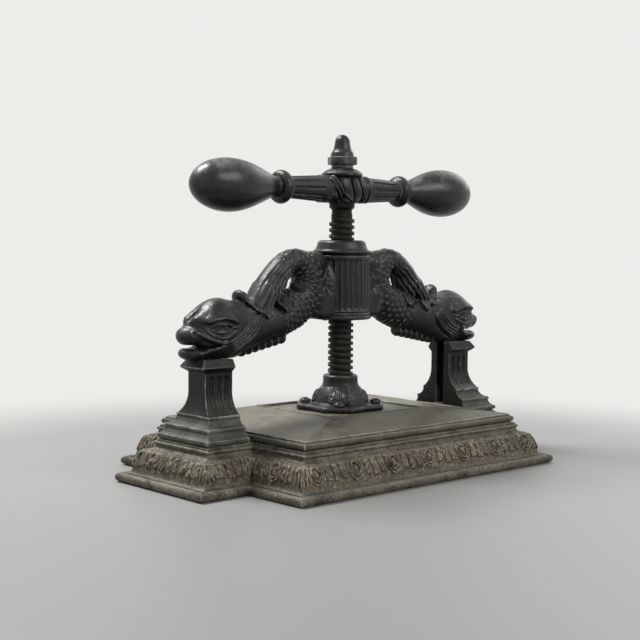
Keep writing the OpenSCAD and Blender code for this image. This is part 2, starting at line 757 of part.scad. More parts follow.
module arm_profile() {
    neck_d = arm_d - 1.5;
    polygon(concat(
        [[0, 0], [hub_d / 2, 0], [hub_d / 2, hub_half - 4]],
        arc([hub_d / 2 - 2.2, hub_half - 2], 2.2, 2, 0, 90, 4),
        [[arm_d / 2 + 0.8, hub_half], [arm_d / 2, hub_half + 3], [neck_d / 2, bead_at - bead_w / 2 - 2],
            [neck_d / 2 + 1.5, bead_at - bead_w / 2 - 1], [neck_d / 2 + 1.5, bead_at - bead_w / 2]],
        arc([knob_neck_d / 2, bead_at], (bead_d - knob_neck_d) / 2, bead_w / 2, -80, 90, 10),
        [[spigot_d / 2, knob_x], [spigot_d / 2, knob_x + spigot_l], [0, knob_x + spigot_l]]));
}

module arm() {
    reeds = 10;
    reed_r = 1.6;
    difference() {
        rotate([0, 90, 0]) rotate_extrude() arm_profile();
        for (i = [0:reeds - 1]) rotate([(i + 0.5) * 360 / reeds, 0, 0])
            translate([hub_half + 4, 0, arm_d / 2 + 0.3]) rotate([0, 90, 0])
                cylinder(h = bead_at - bead_w / 2 - hub_half - 7, r = reed_r, $fn = 24);
    }
}

module handle() {
    color(IRON) difference() {
        union() {
            translate([0, 0, bar_z]) both_ends() arm();
            translate([0, 0, hub_z]) rotate_extrude() polygon([
                [0, 0], [hub_d / 2 - 1.5, 0], [hub_d / 2, 1.5], [hub_d / 2, hub_h - 4],
                [hub_cap_d / 2 - 1, hub_h - 1], [hub_cap_d / 2 - 1, hub_h], [0, hub_h]]);
        }
        square = square_s + 2 * bolt_fit;
        translate([-square / 2, -square / 2, hub_z - 1]) cube([square, square, hub_h + 2]);
        // Flat seat on the collar of the screw
        translate([0, 0, hub_z - hub_h]) cylinder(h = hub_h, d = screw_d + 2);
    }
}

// Knobs: pear shapes turned about the bar

fat_x = knob_x + knob_l - knob_fat_at;

function knob_r(x) = let (t = (fat_x - x) / (fat_x - knob_x - 4))
    knob_neck_d / 2 + (knob_d - knob_neck_d) / 2 * pow(max(0.5 + 0.5 * cos(180 * min(t, 1)), 0), 0.525);

module knob() {
    body_steps = 18;
    color(IRON) translate([0, 0, bar_z]) difference() {
        rotate([0, 90, 0]) rotate_extrude() polygon(concat(
            [[0, knob_x], [knob_neck_d / 2 + 0.6, knob_x]],
            [for (i = [1:body_steps]) let (x = knob_x + (fat_x - knob_x) * i / body_steps) [knob_r(x), x]],
            [for (i = [1:10]) let (a = 90 * i / 10) [knob_d / 2 * cos(a), fat_x + knob_fat_at * sin(a)]]));
        translate([knob_x - 1, 0, 0]) rotate([0, 90, 0])
            cylinder(h = spigot_l + 1.5, d = spigot_d + 2 * bolt_fit);
    }
}

module left_knob() { mirror([1, 0, 0]) knob(); }

module right_knob() { knob(); }

// Top of the handle

module hub_cap() {
    color(IRON) translate([0, 0, hub_cap_z]) difference() {
        rotate_extrude() polygon(concat(
            [[0, 0], [hub_cap_d / 2, 0], [hub_cap_d / 2, 1.2]],
            arc([12.5, 1.2], hub_cap_d / 2 - 12.5, hub_cap_h - 1.2, 0, 90, 6),
            [[0, hub_cap_h]]));
        translate([0, 0, -1]) cylinder(h = hub_cap_h + 2, d = stud_d + 2 * bolt_fit);
    }
}

module finial_nut() {
    neck_h = 3.4;
    bell_z = neck_h + hex_h;
    dome_z = finial_h - dome_d / 2;
    color(IRON) translate([0, 0, finial_z]) difference() {
        union() {
            cylinder(h = neck_h, d = 22.8);
            translate([0, 0, neck_h]) intersection() {
                cylinder(h = hex_h, d = hex_d, $fn = 6);
                rotate_extrude() polygon([
                    [0, 0], [hex_d / 2 - 1.5, 0], [hex_d / 2, 1], [hex_d / 2, hex_h - 1],
                    [hex_d / 2 - 1.5, hex_h], [0, hex_h]]);
            }
            rotate_extrude() polygon(concat(
                [[0, bell_z - 1], [12, bell_z - 1], [12, bell_z + 1], [11.2, bell_z + 4.5]],
                arc([dome_d / 2 + 3, bell_z + 9.5], 3, 5, 250, 180, 4),
                arc([0, dome_z], dome_d / 2 - 0.4, dome_d / 2, 0, 90, 8)));
        }
        translate([0, 0, -1]) cylinder(h = finial_h - dome_d / 2 - 1, d = stud_d + 2 * bolt_fit);
    }
}

base();
left_column();
right_column();
left_dolphin();
right_dolphin();
boss();
boss_cap();
screw_nut();
nut_lock_screw();
left_tie_bolt();
right_tie_bolt();
tie_washers();
tie_nuts();
platen();
screw_socket();
socket_bolts();
screw();
handle();
left_knob();
right_knob();
hub_cap();
finial_nut();
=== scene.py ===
"""Iron copying press with a dolphin arch: what shows of it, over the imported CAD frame."""
import math

import bpy
import numpy as np
from mathutils import Matrix, Vector


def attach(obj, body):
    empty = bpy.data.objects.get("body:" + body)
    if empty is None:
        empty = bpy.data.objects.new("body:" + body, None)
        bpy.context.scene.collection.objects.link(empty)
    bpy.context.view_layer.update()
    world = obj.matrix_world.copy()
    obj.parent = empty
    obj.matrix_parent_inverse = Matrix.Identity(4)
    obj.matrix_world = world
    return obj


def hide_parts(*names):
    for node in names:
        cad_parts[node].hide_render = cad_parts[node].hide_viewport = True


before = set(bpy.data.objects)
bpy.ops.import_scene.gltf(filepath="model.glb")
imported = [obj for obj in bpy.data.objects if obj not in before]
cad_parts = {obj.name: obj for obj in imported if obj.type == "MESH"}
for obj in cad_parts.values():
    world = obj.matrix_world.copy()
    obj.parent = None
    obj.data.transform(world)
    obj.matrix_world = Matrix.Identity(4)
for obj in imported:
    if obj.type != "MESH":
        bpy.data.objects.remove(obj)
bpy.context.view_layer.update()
scene = bpy.context.scene

# Sizes in millimetres after the CAD model, with a few angles in degrees and counts
MM = 0.001
BED_X, BED_Y, BED_Z = 150.0, 112.5, 43.0
PEDESTAL_X, PEDESTAL_Y = 204.5, 40.0
PLATEN_X, PLATEN_Y, PLATEN_Z = 149.0, 111.5, 43.3
RIDGE_X, RIDGE_Y, RIDGE_Z, PANEL_Z = 65.0, 59.0, 60.8, 58.5
BED_EDGE_H, BEAD_R_BED, LIP = 2.4, 1.7, 1.2
BAND_LOW, BAND_HIGH, BAND_R = (16.8, 13.8), (8.2, 31.3), 34.0
BASE_OUT, TOE_H, TOE_R = 29.0, 9.0, 4.4
TIE_X, TIE_SEAT_R, TIE_SEAT_LOW, TIE_SEAT_TOP = 173.75, 16.0, 28.6, 33.4
TONGUE_IN, TONGUE_OUT, TONGUE_Y, TONGUE_H = 138.0, 160.0, 5.5, 8.0
COLUMN_IN, COLUMN_OUT, COLUMN_MID = 154.5, 186.0, 170.25
SHAFT_Y, FOOT_TOP, FLARE_R, FLARE_ANGLE, FLARE_TOP = 13.3, 68.5, 26.3, 55.0, 90.04
FOOT_OUT = 15.5
FLUTE_STEP, FLUTE_LOW, FLUTE_HIGH, FLUTE_HALF, FLUTE_DEEP = 8.75, 75.5, 101.5, 2.9, 1.8
CAPITAL_FOOT, CAPITAL_Z, CAPITAL_OUT = 108.5, 120.5, 5.0
GROOVE_Y, GROOVE_D = 6.0, 7.0
FLANGE_Z, BOSS_Z, CAP_Z, CAP_TOP = 152.4, 159.7, 218.4, 233.4
BOSS_R, BOSS_BORE, CAP_BORE, NUT_BORE, FLANGE_R = 29.0, 16.0, 14.6, 13.7, 31.5
BOSS_FLUTE_STEP, BOSS_FLUTE_LOW, BOSS_FLUTE_HIGH, BOSS_FLUTE_HALF = 12.5, 165.0, 211.5, 2.75
SCREW_FOOT_Z, SCREW_FOOT_TOP, SCREW_FOOT_R, STUD_R, STUD_TOP = 58.8, 64.8, 17.0, 7.0, 330.0
SCREW_R, CORE_R, PITCH = 13.2, 11.0, 6.35
THREAD_STEPS, THREAD_SOFT, THREAD_W = 72, 0.7, 3.5
THREAD_LOW, THREAD_TOP, COLLAR_Z, HUB_Z, BAR_Z = 91.0, 260.0, 266.7, 273.0, 286.4
HUB_CAP_Z, FINIAL_Z, FINIAL_TOP = 302.0, 308.0, 342.6
PLATE_TOP, BELL_TOP, SOCKET_TOP = 64.5, 83.3, 94.2
PLATE_HALF, PLATE_CUT, PLATE_EDGE, BELL_RING_R, NECK_R, SPOT_R = 42.0, 64.0, 3.0, 29.0, 15.6, 6.9
BOLT_AT, BOLT_SEAT, BOLT_FOOT, BOLT_R = 26.0, 65.0, 51.0, 3.4
HUB_HALF, HUB_R, ARM_R, BEAD_AT, BEAD_R, BEAD_W = 31.0, 14.5, 11.6, 83.5, 16.5, 12.6
BEAD_LOW = BEAD_AT - BEAD_W / 2
POST_R, REED_COUNT, HUB_CAP_BORE = 14.6, 10, 7.3
KNOB_X, KNOB_TIP, KNOB_FAT_X, KNOB_R, KNOB_NECK_R = 89.8, 192.5, 150.5, 26.0, 10.25
SEAT_X, LOOP_Z = 30.0, 189.05
HEAD = np.array([COLUMN_MID, 149.5])


# Shader helpers

def add_node(tree, kind, **settings):
    node = tree.nodes.new(kind)
    for key, value in settings.items():
        setattr(node, key, value)
    return node


def feed(tree, socket, value):
    """Joins a socket to another one, or sets it to a plain value."""
    if isinstance(value, bpy.types.NodeSocket):
        tree.links.new(value, socket)
    else:
        socket.default_value = value


def maths(tree, operation, a, b=0.0, clamp=False):
    node = add_node(tree, "ShaderNodeMath", operation=operation, use_clamp=clamp)
    feed(tree, node.inputs[0], a)
    feed(tree, node.inputs[1], b)
    return node.outputs[0]


def plus(tree, a, b):
    return maths(tree, "ADD", a, b)


def minus(tree, a, b):
    return maths(tree, "SUBTRACT", a, b)


def times(tree, a, b):
    return maths(tree, "MULTIPLY", a, b)


def one_over(tree, a):
    return maths(tree, "DIVIDE", 1.0, a)


def split_of(tree, vector):
    node = add_node(tree, "ShaderNodeSeparateXYZ")
    tree.links.new(vector, node.inputs[0])
    return node.outputs


def ramp(tree, value, low, high):
    """Smooth step of a value from 0 at low to 1 at high."""
    node = add_node(tree, "ShaderNodeMapRange", interpolation_type="SMOOTHSTEP")
    feed(tree, node.inputs["Value"], value)
    feed(tree, node.inputs["From Min"], low)
    feed(tree, node.inputs["From Max"], high)
    return node.outputs["Result"]


def blend(tree, share, a, b):
    node = add_node(tree, "ShaderNodeMix", data_type="RGBA")
    feed(tree, node.inputs["Factor"], share)
    for socket, value in ((node.inputs[6], a), (node.inputs[7], b)):
        feed(tree, socket, value if isinstance(value, bpy.types.NodeSocket) else (*value, 1.0))
    return node.outputs[2]


def noise(tree, where, scale, detail=3.0, roughness=0.55, distortion=0.0):
    node = add_node(tree, "ShaderNodeTexNoise")
    feed(tree, node.inputs["Vector"], where)
    feed(tree, node.inputs["Scale"], scale)
    node.inputs["Detail"].default_value = detail
    node.inputs["Roughness"].default_value = roughness
    node.inputs["Distortion"].default_value = distortion
    return node.outputs["Fac"]


def shader_group(name, inputs, outputs):
    tree = bpy.data.node_groups.new(name, "ShaderNodeTree")
    for label, value in inputs.items():
        tree.interface.new_socket(label, in_out="INPUT", socket_type="NodeSocketFloat").default_value = value
    for label, kind in outputs.items():
        tree.interface.new_socket(label, in_out="OUTPUT", socket_type="NodeSocket" + kind)
    source = add_node(tree, "NodeGroupInput")
    sink = add_node(tree, "NodeGroupOutput")
    where = add_node(tree, "ShaderNodeTexCoord").outputs["Object"]
    return tree, source.outputs, sink.inputs, where


# Waves per metre of the noises in the finishes
MOTTLE_WAVES, SPECK_WAVES, STAIN_WAVES = 42.0, 430.0, 34.0
RAGGED_WAVES, WORN_WAVES, SHADE_PATCH_WAVES = 260.0, 48.0, 150.0
RUST_WAVES, FLAKE_WAVES, TONE_WAVES = 62.0, 340.0, 210.0

# Heights in metres over which dust thins out, and rust comes in at the foot and the top of the carved band
DUST_FADE, RUST_FOOT, RUST_TOP = 0.012, (0.006, 0.015), (0.038, 0.031)

RUST_DARK, RUST_LIGHT, FLAKE_TAN = (0.042, 0.029, 0.018), (0.19, 0.14, 0.085), (0.38, 0.33, 0.23)


def make_cast_grain():
    """Sand-cast skin: its height, patches and specks of lighter tone, and dark stains."""
    tree, given, out, where = shader_group(
        "cast grain", {"Grain Size": 0.0011, "Lump Size": 0.009},
        {"Height": "Float", "Mottle": "Float", "Speck": "Float", "Stain": "Float"})
    grain = noise(tree, where, one_over(tree, given["Grain Size"]), 2.0)
    lumps = noise(tree, where, one_over(tree, given["Lump Size"]), 3.0)
    feed(tree, out["Height"], plus(tree, times(tree, grain, 0.35), lumps))
    feed(tree, out["Mottle"], ramp(tree, noise(tree, where, MOTTLE_WAVES, 7.0, 0.68), 0.34, 0.68))
    feed(tree, out["Speck"], ramp(tree, noise(tree, where, SPECK_WAVES, 3.0, 0.7), 0.36, 0.66))
    feed(tree, out["Stain"], ramp(tree, noise(tree, where, STAIN_WAVES, 8.0, 0.76), 0.44, 0.66))
    return tree


def edge_value(tree):
    return add_node(tree, "ShaderNodeAttribute", attribute_name="edge").outputs["Fac"]


def make_edge_wear():
    """Bare, rubbed edges and painted shade in the hollows, both patchy, from the edge value kept on each
    piece.
    """
    tree, given, out, where = shader_group(
        "edge wear", {"Start": 0.18, "Full": 0.75}, {"Rubbed": "Float", "Hollow Shade": "Float"})
    edge = edge_value(tree)
    ragged = times(tree, minus(tree, noise(tree, where, RAGGED_WAVES, 4.0, 0.65), 0.5), 0.7)
    bare = ramp(tree, plus(tree, edge, ragged), given["Start"], given["Full"])
    worn = ramp(tree, noise(tree, where, WORN_WAVES, 2.0), 0.42, 0.6)
    # Painted shade: the hollows, in patches, are darkened towards near black
    sunk = ramp(tree, times(tree, edge, -1.0), 0.1, 0.7)
    shade_patches = ramp(tree, noise(tree, where, SHADE_PATCH_WAVES, 4.0, 0.65), 0.38, 0.62)
    for label, mask, patches in (("Rubbed", bare, worn), ("Hollow Shade", sunk, shade_patches)):
        feed(tree, out[label], times(tree, mask, plus(tree, times(tree, patches, 0.7), 0.3)))
    return tree


def make_dust_and_top_light():
    """Patchy dust and painted top light on faces turned upwards, and dust that clings all round below a
    height, though not on faces turned towards the screw, such as the guide faces of the columns."""
    tree, given, out, where = shader_group(
        "dust_and_top_light",
        {"Cover": 0.5, "Patch Size": 0.02, "Thin": 0.28, "Thick": 0.66, "Settled": 0.0, "Height": 0.06},
        {"Mask": "Float"})
    facing = split_of(tree, add_node(tree, "ShaderNodeNewGeometry").outputs["Normal"])
    place = split_of(tree, where)
    patches = noise(tree, where, one_over(tree, given["Patch Size"]), 7.0, 0.72)
    patch = ramp(tree, patches, given["Thin"], given["Thick"])
    up = ramp(tree, facing["Z"], -0.1, 0.95)
    # Faces turned up get dust and painted top light, in patches
    top_light_and_dust = times(tree, up, times(tree, patch, given["Cover"]))
    low = ramp(tree, place["Z"], plus(tree, given["Height"], DUST_FADE), given["Height"])
    clinging = times(tree, times(tree, low, given["Settled"]), plus(tree, patch, 0.35))
    inward = times(tree, times(tree, facing["X"], place["X"]), -1.0)
    clinging = times(tree, clinging, ramp(tree, inward, 0.12, 0.03))
    feed(tree, out["Mask"], maths(tree, "MAXIMUM", top_light_and_dust, clinging, True))
    return tree


def make_rust():
    """Brown stains and small tan flakes, thickest on the carved band of the base."""
    tree, given, out, where = shader_group(
        "rust", {"Cover": 0.5, "Band": 0.0, "Flakes": 0.3}, {"Mask": "Float", "Colour": "Color"})
    height = split_of(tree, where)["Z"]
    band = times(tree, ramp(tree, height, *RUST_FOOT), ramp(tree, height, *RUST_TOP))
    lift = plus(tree, noise(tree, where, RUST_WAVES, 8.0, 0.74, 0.15), times(tree, band, given["Band"]))
    mask = ramp(tree, lift, minus(tree, 0.86, given["Cover"]), minus(tree, 1.12, given["Cover"]))
    proud = plus(tree, noise(tree, where, FLAKE_WAVES, 3.0, 0.6), times(tree, edge_value(tree), 0.12))
    reach = plus(tree, proud, times(tree, minus(tree, lift, 0.5), 0.35))
    flakes = times(tree, ramp(tree, reach, 0.6, 0.7), given["Flakes"])
    tone = ramp(tree, noise(tree, where, TONE_WAVES, 5.0, 0.7), 0.3, 0.7)
    brown = blend(tree, tone, RUST_DARK, RUST_LIGHT)
    feed(tree, out["Colour"], blend(tree, flakes, brown, FLAKE_TAN))
    feed(tree, out["Mask"], maths(tree, "MAXIMUM", times(tree, mask, 0.85), flakes))
    return tree


CAST_GRAIN, EDGE_WEAR, DUST_AND_TOP_LIGHT, RUST = make_cast_grain(), make_edge_wear(), make_dust_and_top_light(), make_rust()
BUMP_DEPTH = 0.0006


def placed(tree, group, **values):
    node = add_node(tree, "ShaderNodeGroup", node_tree=group)
    for label, value in values.items():
        node.inputs[label.replace("_", " ")].default_value = value
    return node.outputs


def darker(colour, share):
    return tuple(share * c for c in colour)


def iron_finish(name, dark, light, dust_and_top_light, cover, rubbed, wear, rust=0.0, band=0.0, rough=(0.38, 0.6),
                depth=0.3, grain=0.0011, hollow=0.75, speck=0.35, flakes=0.2, shine=0.5, settled=0.0,
                patch=0.02, thin=0.28, thick=0.66, lump=0.009, stain=0.0):
    """Old iron: two tones of skin, then rust, dust and painted top light, dark stains, rubbed edges and
    painted shade in the hollows over it.
    """
    material = bpy.data.materials.new(name)
    material.use_nodes = True
    tree = material.node_tree
    shader = tree.nodes["Principled BSDF"]
    skin = placed(tree, CAST_GRAIN, Grain_Size=grain, Lump_Size=lump)
    edges = placed(tree, EDGE_WEAR)
    top_light_and_dust = placed(tree, DUST_AND_TOP_LIGHT, Cover=cover, Settled=settled, Patch_Size=patch, Thin=thin, Thick=thick)
    tone = plus(tree, times(tree, skin["Mottle"], 1.0 - speck), times(tree, skin["Speck"], speck))
    colour = blend(tree, tone, dark, light)
    if rust:
        stains = placed(tree, RUST, Cover=rust, Band=band, Flakes=flakes)
        colour = blend(tree, stains["Mask"], colour, stains["Colour"])
    # Dust colour over the skin, which also paints light on faces turned up
    colour = blend(tree, top_light_and_dust["Mask"], colour, dust_and_top_light)
    if stain:
        colour = blend(tree, times(tree, skin["Stain"], stain), colour, darker(dark, 0.75))
    colour = blend(tree, times(tree, edges["Rubbed"], wear), colour, rubbed)
    # Painted shade in the hollows: a third of the dark skin tone, as much as the hollow share says
    colour = blend(tree, times(tree, edges["Hollow Shade"], hollow), colour, darker(dark, 0.3))
    feed(tree, shader.inputs["Base Color"], colour)
    feed(tree, shader.inputs["Specular IOR Level"], shine)
    dull = add_node(tree, "ShaderNodeMapRange")
    feed(tree, dull.inputs["Value"], plus(tree, top_light_and_dust["Mask"], times(tree, skin["Mottle"], 0.5)))
    feed(tree, dull.inputs["To Min"], rough[0])
    feed(tree, dull.inputs["To Max"], rough[1])
    feed(tree, shader.inputs["Roughness"], dull.outputs["Result"])
    relief = add_node(tree, "ShaderNodeBump")
    feed(tree, relief.inputs["Strength"], depth)
    feed(tree, relief.inputs["Distance"], BUMP_DEPTH)
    feed(tree, relief.inputs["Height"], skin["Height"])
    feed(tree, shader.inputs["Normal"], relief.outputs["Normal"])
    return material


# The dust colours and covers below paint light on faces turned up as well as dust, and hollow sets the
# painted shade in the hollows
BLACK_IRON = iron_finish(
    "black iron", (0.0036, 0.0035, 0.0034), (0.0135, 0.013, 0.012), (0.125, 0.122, 0.11), 0.48,
    (0.23, 0.225, 0.216), 0.6, rough=(0.29, 0.52), depth=1.0, grain=0.0016, lump=0.006, speck=0.5,
    thin=0.38, thick=0.72, shine=0.32)
# Knobs: the pale dust colour, laid thickly on faces turned up, is painted top light more than dust
KNOB_IRON = iron_finish(
    "knob iron", (0.0036, 0.0034, 0.0032), (0.014, 0.0133, 0.0125), (0.2, 0.197, 0.184), 0.85,
    (0.22, 0.216, 0.21), 0.7, rough=(0.23, 0.46), depth=0.6, grain=0.0018, lump=0.009, speck=0.45,
    thin=0.38, thick=0.76, shine=0.4)
COLUMN_IRON = iron_finish(
    "column iron", (0.0038, 0.0037, 0.0035), (0.0135, 0.013, 0.0118), (0.13, 0.125, 0.106), 0.5,
    (0.45, 0.44, 0.4), 0.95, rough=(0.27, 0.56), depth=0.6, lump=0.006, speck=0.55, settled=0.85,
    stain=0.4, shine=0.2)
DUSTY_IRON = iron_finish(
    "dusty iron", (0.017, 0.016, 0.0125), (0.245, 0.232, 0.175), (0.25, 0.238, 0.18), 0.42,
    (0.43, 0.41, 0.335), 0.6, rust=0.35, band=0.19, rough=(0.42, 0.7), depth=0.95, speck=0.58, flakes=1.0,
    hollow=1.0, stain=0.85, shine=0.32)
PLATEN_IRON = iron_finish(
    "platen iron", (0.034, 0.032, 0.0235), (0.17, 0.163, 0.121), (0.25, 0.24, 0.18), 0.65,
    (0.5, 0.48, 0.42), 0.8, rust=0.3, rough=(0.34, 0.58), depth=0.6, speck=0.45, flakes=0.65, hollow=0.75,
    shine=0.3, patch=0.012, thin=0.28, thick=0.76, stain=0.2)
SCREW_STEEL = iron_finish(
    "screw steel", (0.003, 0.0026, 0.002), (0.0095, 0.0083, 0.006), (0.03, 0.027, 0.02), 0.3,
    (0.09, 0.082, 0.066), 0.5, rust=0.2, rough=(0.36, 0.58), depth=0.25, shine=0.14)


# Mesh helpers: a shape is (points in millimetres, faces)

def joined(*shapes):
    points, faces, start = [], [], 0
    for at, sides in shapes:
        points.append(np.asarray(at, float))
        faces += [tuple(i + start for i in side) for side in sides]
        start += len(at)
    return np.concatenate(points), faces


def mirrored(shape):
    points, faces = shape
    return np.asarray(points) * (-1.0, 1.0, 1.0), [tuple(side)[::-1] for side in faces]


def moved(shape, by):
    return np.asarray(shape[0]) + np.asarray(by, float), shape[1]


def softened(line, r=0.5, steps=3):
    """A line of points with its corners rounded off."""
    line = [np.asarray(p, float) for p in line]
    out = [line[0]]
    for a, b, c in zip(line, line[1:], line[2:]):
        to_a, to_c = a - b, c - b
        la, lc = np.linalg.norm(to_a), np.linalg.norm(to_c)
        if la < 1e-9 or lc < 1e-9 or np.dot(to_a, to_c) / (la * lc) < -0.97:
            out.append(b)
            continue
        cut = min(r, 0.45 * la, 0.45 * lc)
        p, q = b + to_a / la * cut, b + to_c / lc * cut
        out += [(1 - t) ** 2 * p + 2 * t * (1 - t) * b + t * t * q for t in np.linspace(0, 1, steps + 1)]
    return np.array(out + [line[-1]])


def refined(line, step):
    """The same line with no piece longer than a step."""
    out = [line[0]]
    for a, b in zip(line, line[1:]):
        n = max(1, math.ceil(np.linalg.norm(b - a) / step))
        out += [a + (b - a) * (i + 1) / n for i in range(n)]
    return np.array(out)


def arc(centre, rx, ry, a, b, n):
    return [[centre[0] + rx * math.cos(t), centre[1] + ry * math.sin(t)]
            for t in np.radians(np.linspace(a, b, n + 1))]


def grid_faces(rows, columns, closed=True):
    """Quads between rows of points, each row going round unless it is open."""
    i, k = np.meshgrid(np.arange(rows - 1), np.arange(columns if closed else columns - 1), indexing="ij")
    nxt = (k + 1) % columns
    quads = np.stack([i * columns + k, i * columns + nxt, (i + 1) * columns + nxt, (i + 1) * columns + k], -1)
    return [tuple(q) for q in quads.reshape(-1, 4).tolist()]


def turned(profile, sides=96, along_x=False, wave=None, loop=False):
    """Shape turned about Z, or about X, from [radius, height] points, lowest first. A loop has a bore."""
    profile = np.asarray(profile, float)
    poles = [] if loop else [i for i in (0, -1) if profile[i][0] < 1e-6]
    body = profile[(1 if 0 in poles else 0):(-1 if -1 in poles else None)]
    angle = np.arange(sides) * 2 * math.pi / sides
    r, a = np.repeat(body[:, :1], sides, 1), np.repeat(angle[None], len(body), 0)
    h = np.repeat(body[:, 1:], sides, 1)
    if wave is not None:
        r = wave(r, a, h)
    points = np.stack([r * np.cos(a), r * np.sin(a), h], -1).reshape(-1, 3)
    faces = grid_faces(len(body), sides)
    last = (len(body) - 1) * sides
    if loop:
        faces += [(last + k, last + (k + 1) % sides, (k + 1) % sides, k) for k in range(sides)]
    else:
        for pole, start in ((0, 0), (-1, last)):
            ring = [start + k for k in range(sides)]
            if pole in poles:
                tip = len(points)
                points = np.vstack([points, [0, 0, profile[pole][1]]])
                fan = [(ring[(k + 1) % sides], ring[k], tip) for k in range(sides)]
                faces += fan if pole == 0 else [f[::-1] for f in fan]
            else:
                faces.append(tuple(ring[::-1] if pole == 0 else ring))
    return (points[:, [2, 0, 1]] if along_x else points), faces


def lofted(rings):
    """Closed shape through rings of points, lowest first, each counter-clockwise seen from above."""
    n = len(rings[0])
    faces = grid_faces(len(rings), n)
    last = (len(rings) - 1) * n
    faces += [tuple(range(n - 1, -1, -1)), tuple(range(last, last + n))]
    return np.concatenate([np.asarray(r, float) for r in rings]), faces


def wavering(points, amount, size, seed):
    """Slight unevenness of a casting: slow waves that move the points."""
    draw = np.random.default_rng(seed)
    shift = np.zeros_like(points)
    for _ in range(6):
        way = draw.normal(size=3)
        swing = np.sin(points @ (way / np.linalg.norm(way)) * 2 * math.pi / (size * draw.uniform(0.6, 1.6))
                       + draw.uniform(0, 2 * math.pi))
        shift += swing[:, None] * draw.normal(size=3)
    return points + shift * amount / 3.5


def keep_edges(mesh, reach=1.5, passes=2):
    """Keeps on each point how far it stands on an edge (+) or lies in a hollow (-)."""
    n = len(mesh.vertices)
    at, normal = np.empty(n * 3), np.empty(n * 3)
    mesh.vertices.foreach_get("co", at)
    mesh.vertex_normals.foreach_get("vector", normal)
    at, normal = at.reshape(-1, 3) / MM, normal.reshape(-1, 3)
    pairs = np.empty(len(mesh.edges) * 2, np.int32)
    mesh.edges.foreach_get("vertices", pairs)
    a, b = pairs.reshape(-1, 2).T
    gap = at[b] - at[a]
    square = np.maximum((gap * gap).sum(1), 0.05)
    fall_a, fall_b = -(normal[a] * gap).sum(1) / square, (normal[b] * gap).sum(1) / square
    bend = np.bincount(a, fall_a, n) + np.bincount(b, fall_b, n)
    count = np.maximum(np.bincount(a, minlength=n) + np.bincount(b, minlength=n), 1)
    bend *= 2.0 / count
    for _ in range(passes):
        bend = (bend + (np.bincount(a, bend[b], n) + np.bincount(b, bend[a], n)) / count) / 2
    layer = mesh.attributes.new("edge", "FLOAT", "POINT")
    layer.data.foreach_set("value", np.clip(bend * reach, -1, 1).astype(np.float32))


def mesh_of(name, shape):
    mesh = bpy.data.meshes.new(name)
    mesh.from_pydata((np.asarray(shape[0]) * MM).tolist(), [], shape[1])
    return mesh


def add_object(name, data):
    made = bpy.data.objects.new(name, data)
    scene.collection.objects.link(made)
    return made


def piece(name, shape, finish, body, nodes=(), sharp=48.0):
    """New piece from a shape: smooth, with its edge values, riding on its body, standing for CAD nodes."""
    mesh = mesh_of(name, shape)
    mesh.update()
    mesh.shade_smooth()
    mesh.set_sharp_from_angle(angle=math.radians(sharp))
    mesh.materials.append(finish)
    keep_edges(mesh)
    made = add_object(name, mesh)
    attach(made, body)
    if nodes:
        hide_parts(*nodes)


def pair(name, shape, finish, body, sharp=48.0):
    """The piece on the right and its mirror image on the left."""
    for side, made in (("right", shape), ("left", mirrored(shape))):
        piece(f"{side}_{name}_casting", made, finish, body, [f"{side}_{name}"], sharp)


def shape_of(mesh):
    """Points in millimetres and faces of a Blender mesh."""
    at = np.empty(len(mesh.vertices) * 3)
    mesh.vertices.foreach_get("co", at)
    return at.reshape(-1, 3) / MM, [tuple(p.vertices) for p in mesh.polygons]


# Modelling by distance fields, in millimetres and negative inside, for the soft carved castings

def smooth_min(a, b, k):
    """The lesser of two distances, eased into each other where they differ by less than k."""
    h = np.clip(0.5 + 0.5 * (b - a) / k, 0, 1)
    return b + (a - b) * h - k * h * (1 - h)


def smooth_max(a, b, k):
    return -smooth_min(-a, -b, k)


def step(value, low, high):
    """Smooth step from 0 at low to 1 at high."""
    t = np.clip((value - low) / (high - low), 0, 1)
    return t * t * (3 - 2 * t)


def bump(gap, width):
    """1 where there is no gap, falling off to both sides over a width."""
    return np.exp(-(gap / width) ** 2)


def oval(x, y, z, centre, size):
    """Distance to an ellipsoid."""
    q = ((x - centre[0]) / size[0]) ** 2 + ((y - centre[1]) / size[1]) ** 2 + ((z - centre[2]) / size[2]) ** 2
    s = (((x - centre[0]) / size[0] ** 2) ** 2 + ((y - centre[1]) / size[1] ** 2) ** 2
         + ((z - centre[2]) / size[2] ** 2) ** 2)
    q = np.sqrt(q)
    return q * (q - 1) / np.sqrt(np.maximum(s, 1e-12))


def from_line(x, z, line):
    """Distance of places in a side view from a line of points, which side they lie on, and how far along."""
    line = np.asarray(line, float)
    best = side = share = None
    lengths = np.linalg.norm(np.diff(line, axis=0), axis=1)
    run = np.concatenate([[0], np.cumsum(lengths)])
    for (a, b), start, size in zip(zip(line, line[1:]), run, lengths):
        d = (b - a) / size
        t = np.clip((x - a[0]) * d[0] + (z - a[1]) * d[1], 0, size)
        gap = np.hypot(x - a[0] - d[0] * t, z - a[1] - d[1] * t)
        over = d[0] * (z - a[1]) - d[1] * (x - a[0])
        if best is None:
            best, side, share = gap, over, (start + t) / run[-1]
        else:
            near = gap < best
            best, side = np.where(near, gap, best), np.where(near, over, side)
            share = np.where(near, (start + t) / run[-1], share)
    return best, side, share


def inside_outline(x, z, outline):
    """Signed distance of places in a side view from a closed outline."""
    outline = np.asarray(outline, float)
    gap = from_line(x, z, np.vstack([outline, outline[:1]]))[0]
    odd = np.zeros(np.broadcast(x, z).shape, bool)
    for a, b in zip(outline, np.roll(outline, -1, 0)):
        crosses = (a[1] > z) != (b[1] > z)
        odd ^= crosses & (x < (b[0] - a[0]) * (z - a[1]) / (b[1] - a[1] + 1e-12) + a[0])
    return np.where(odd, -gap, gap)


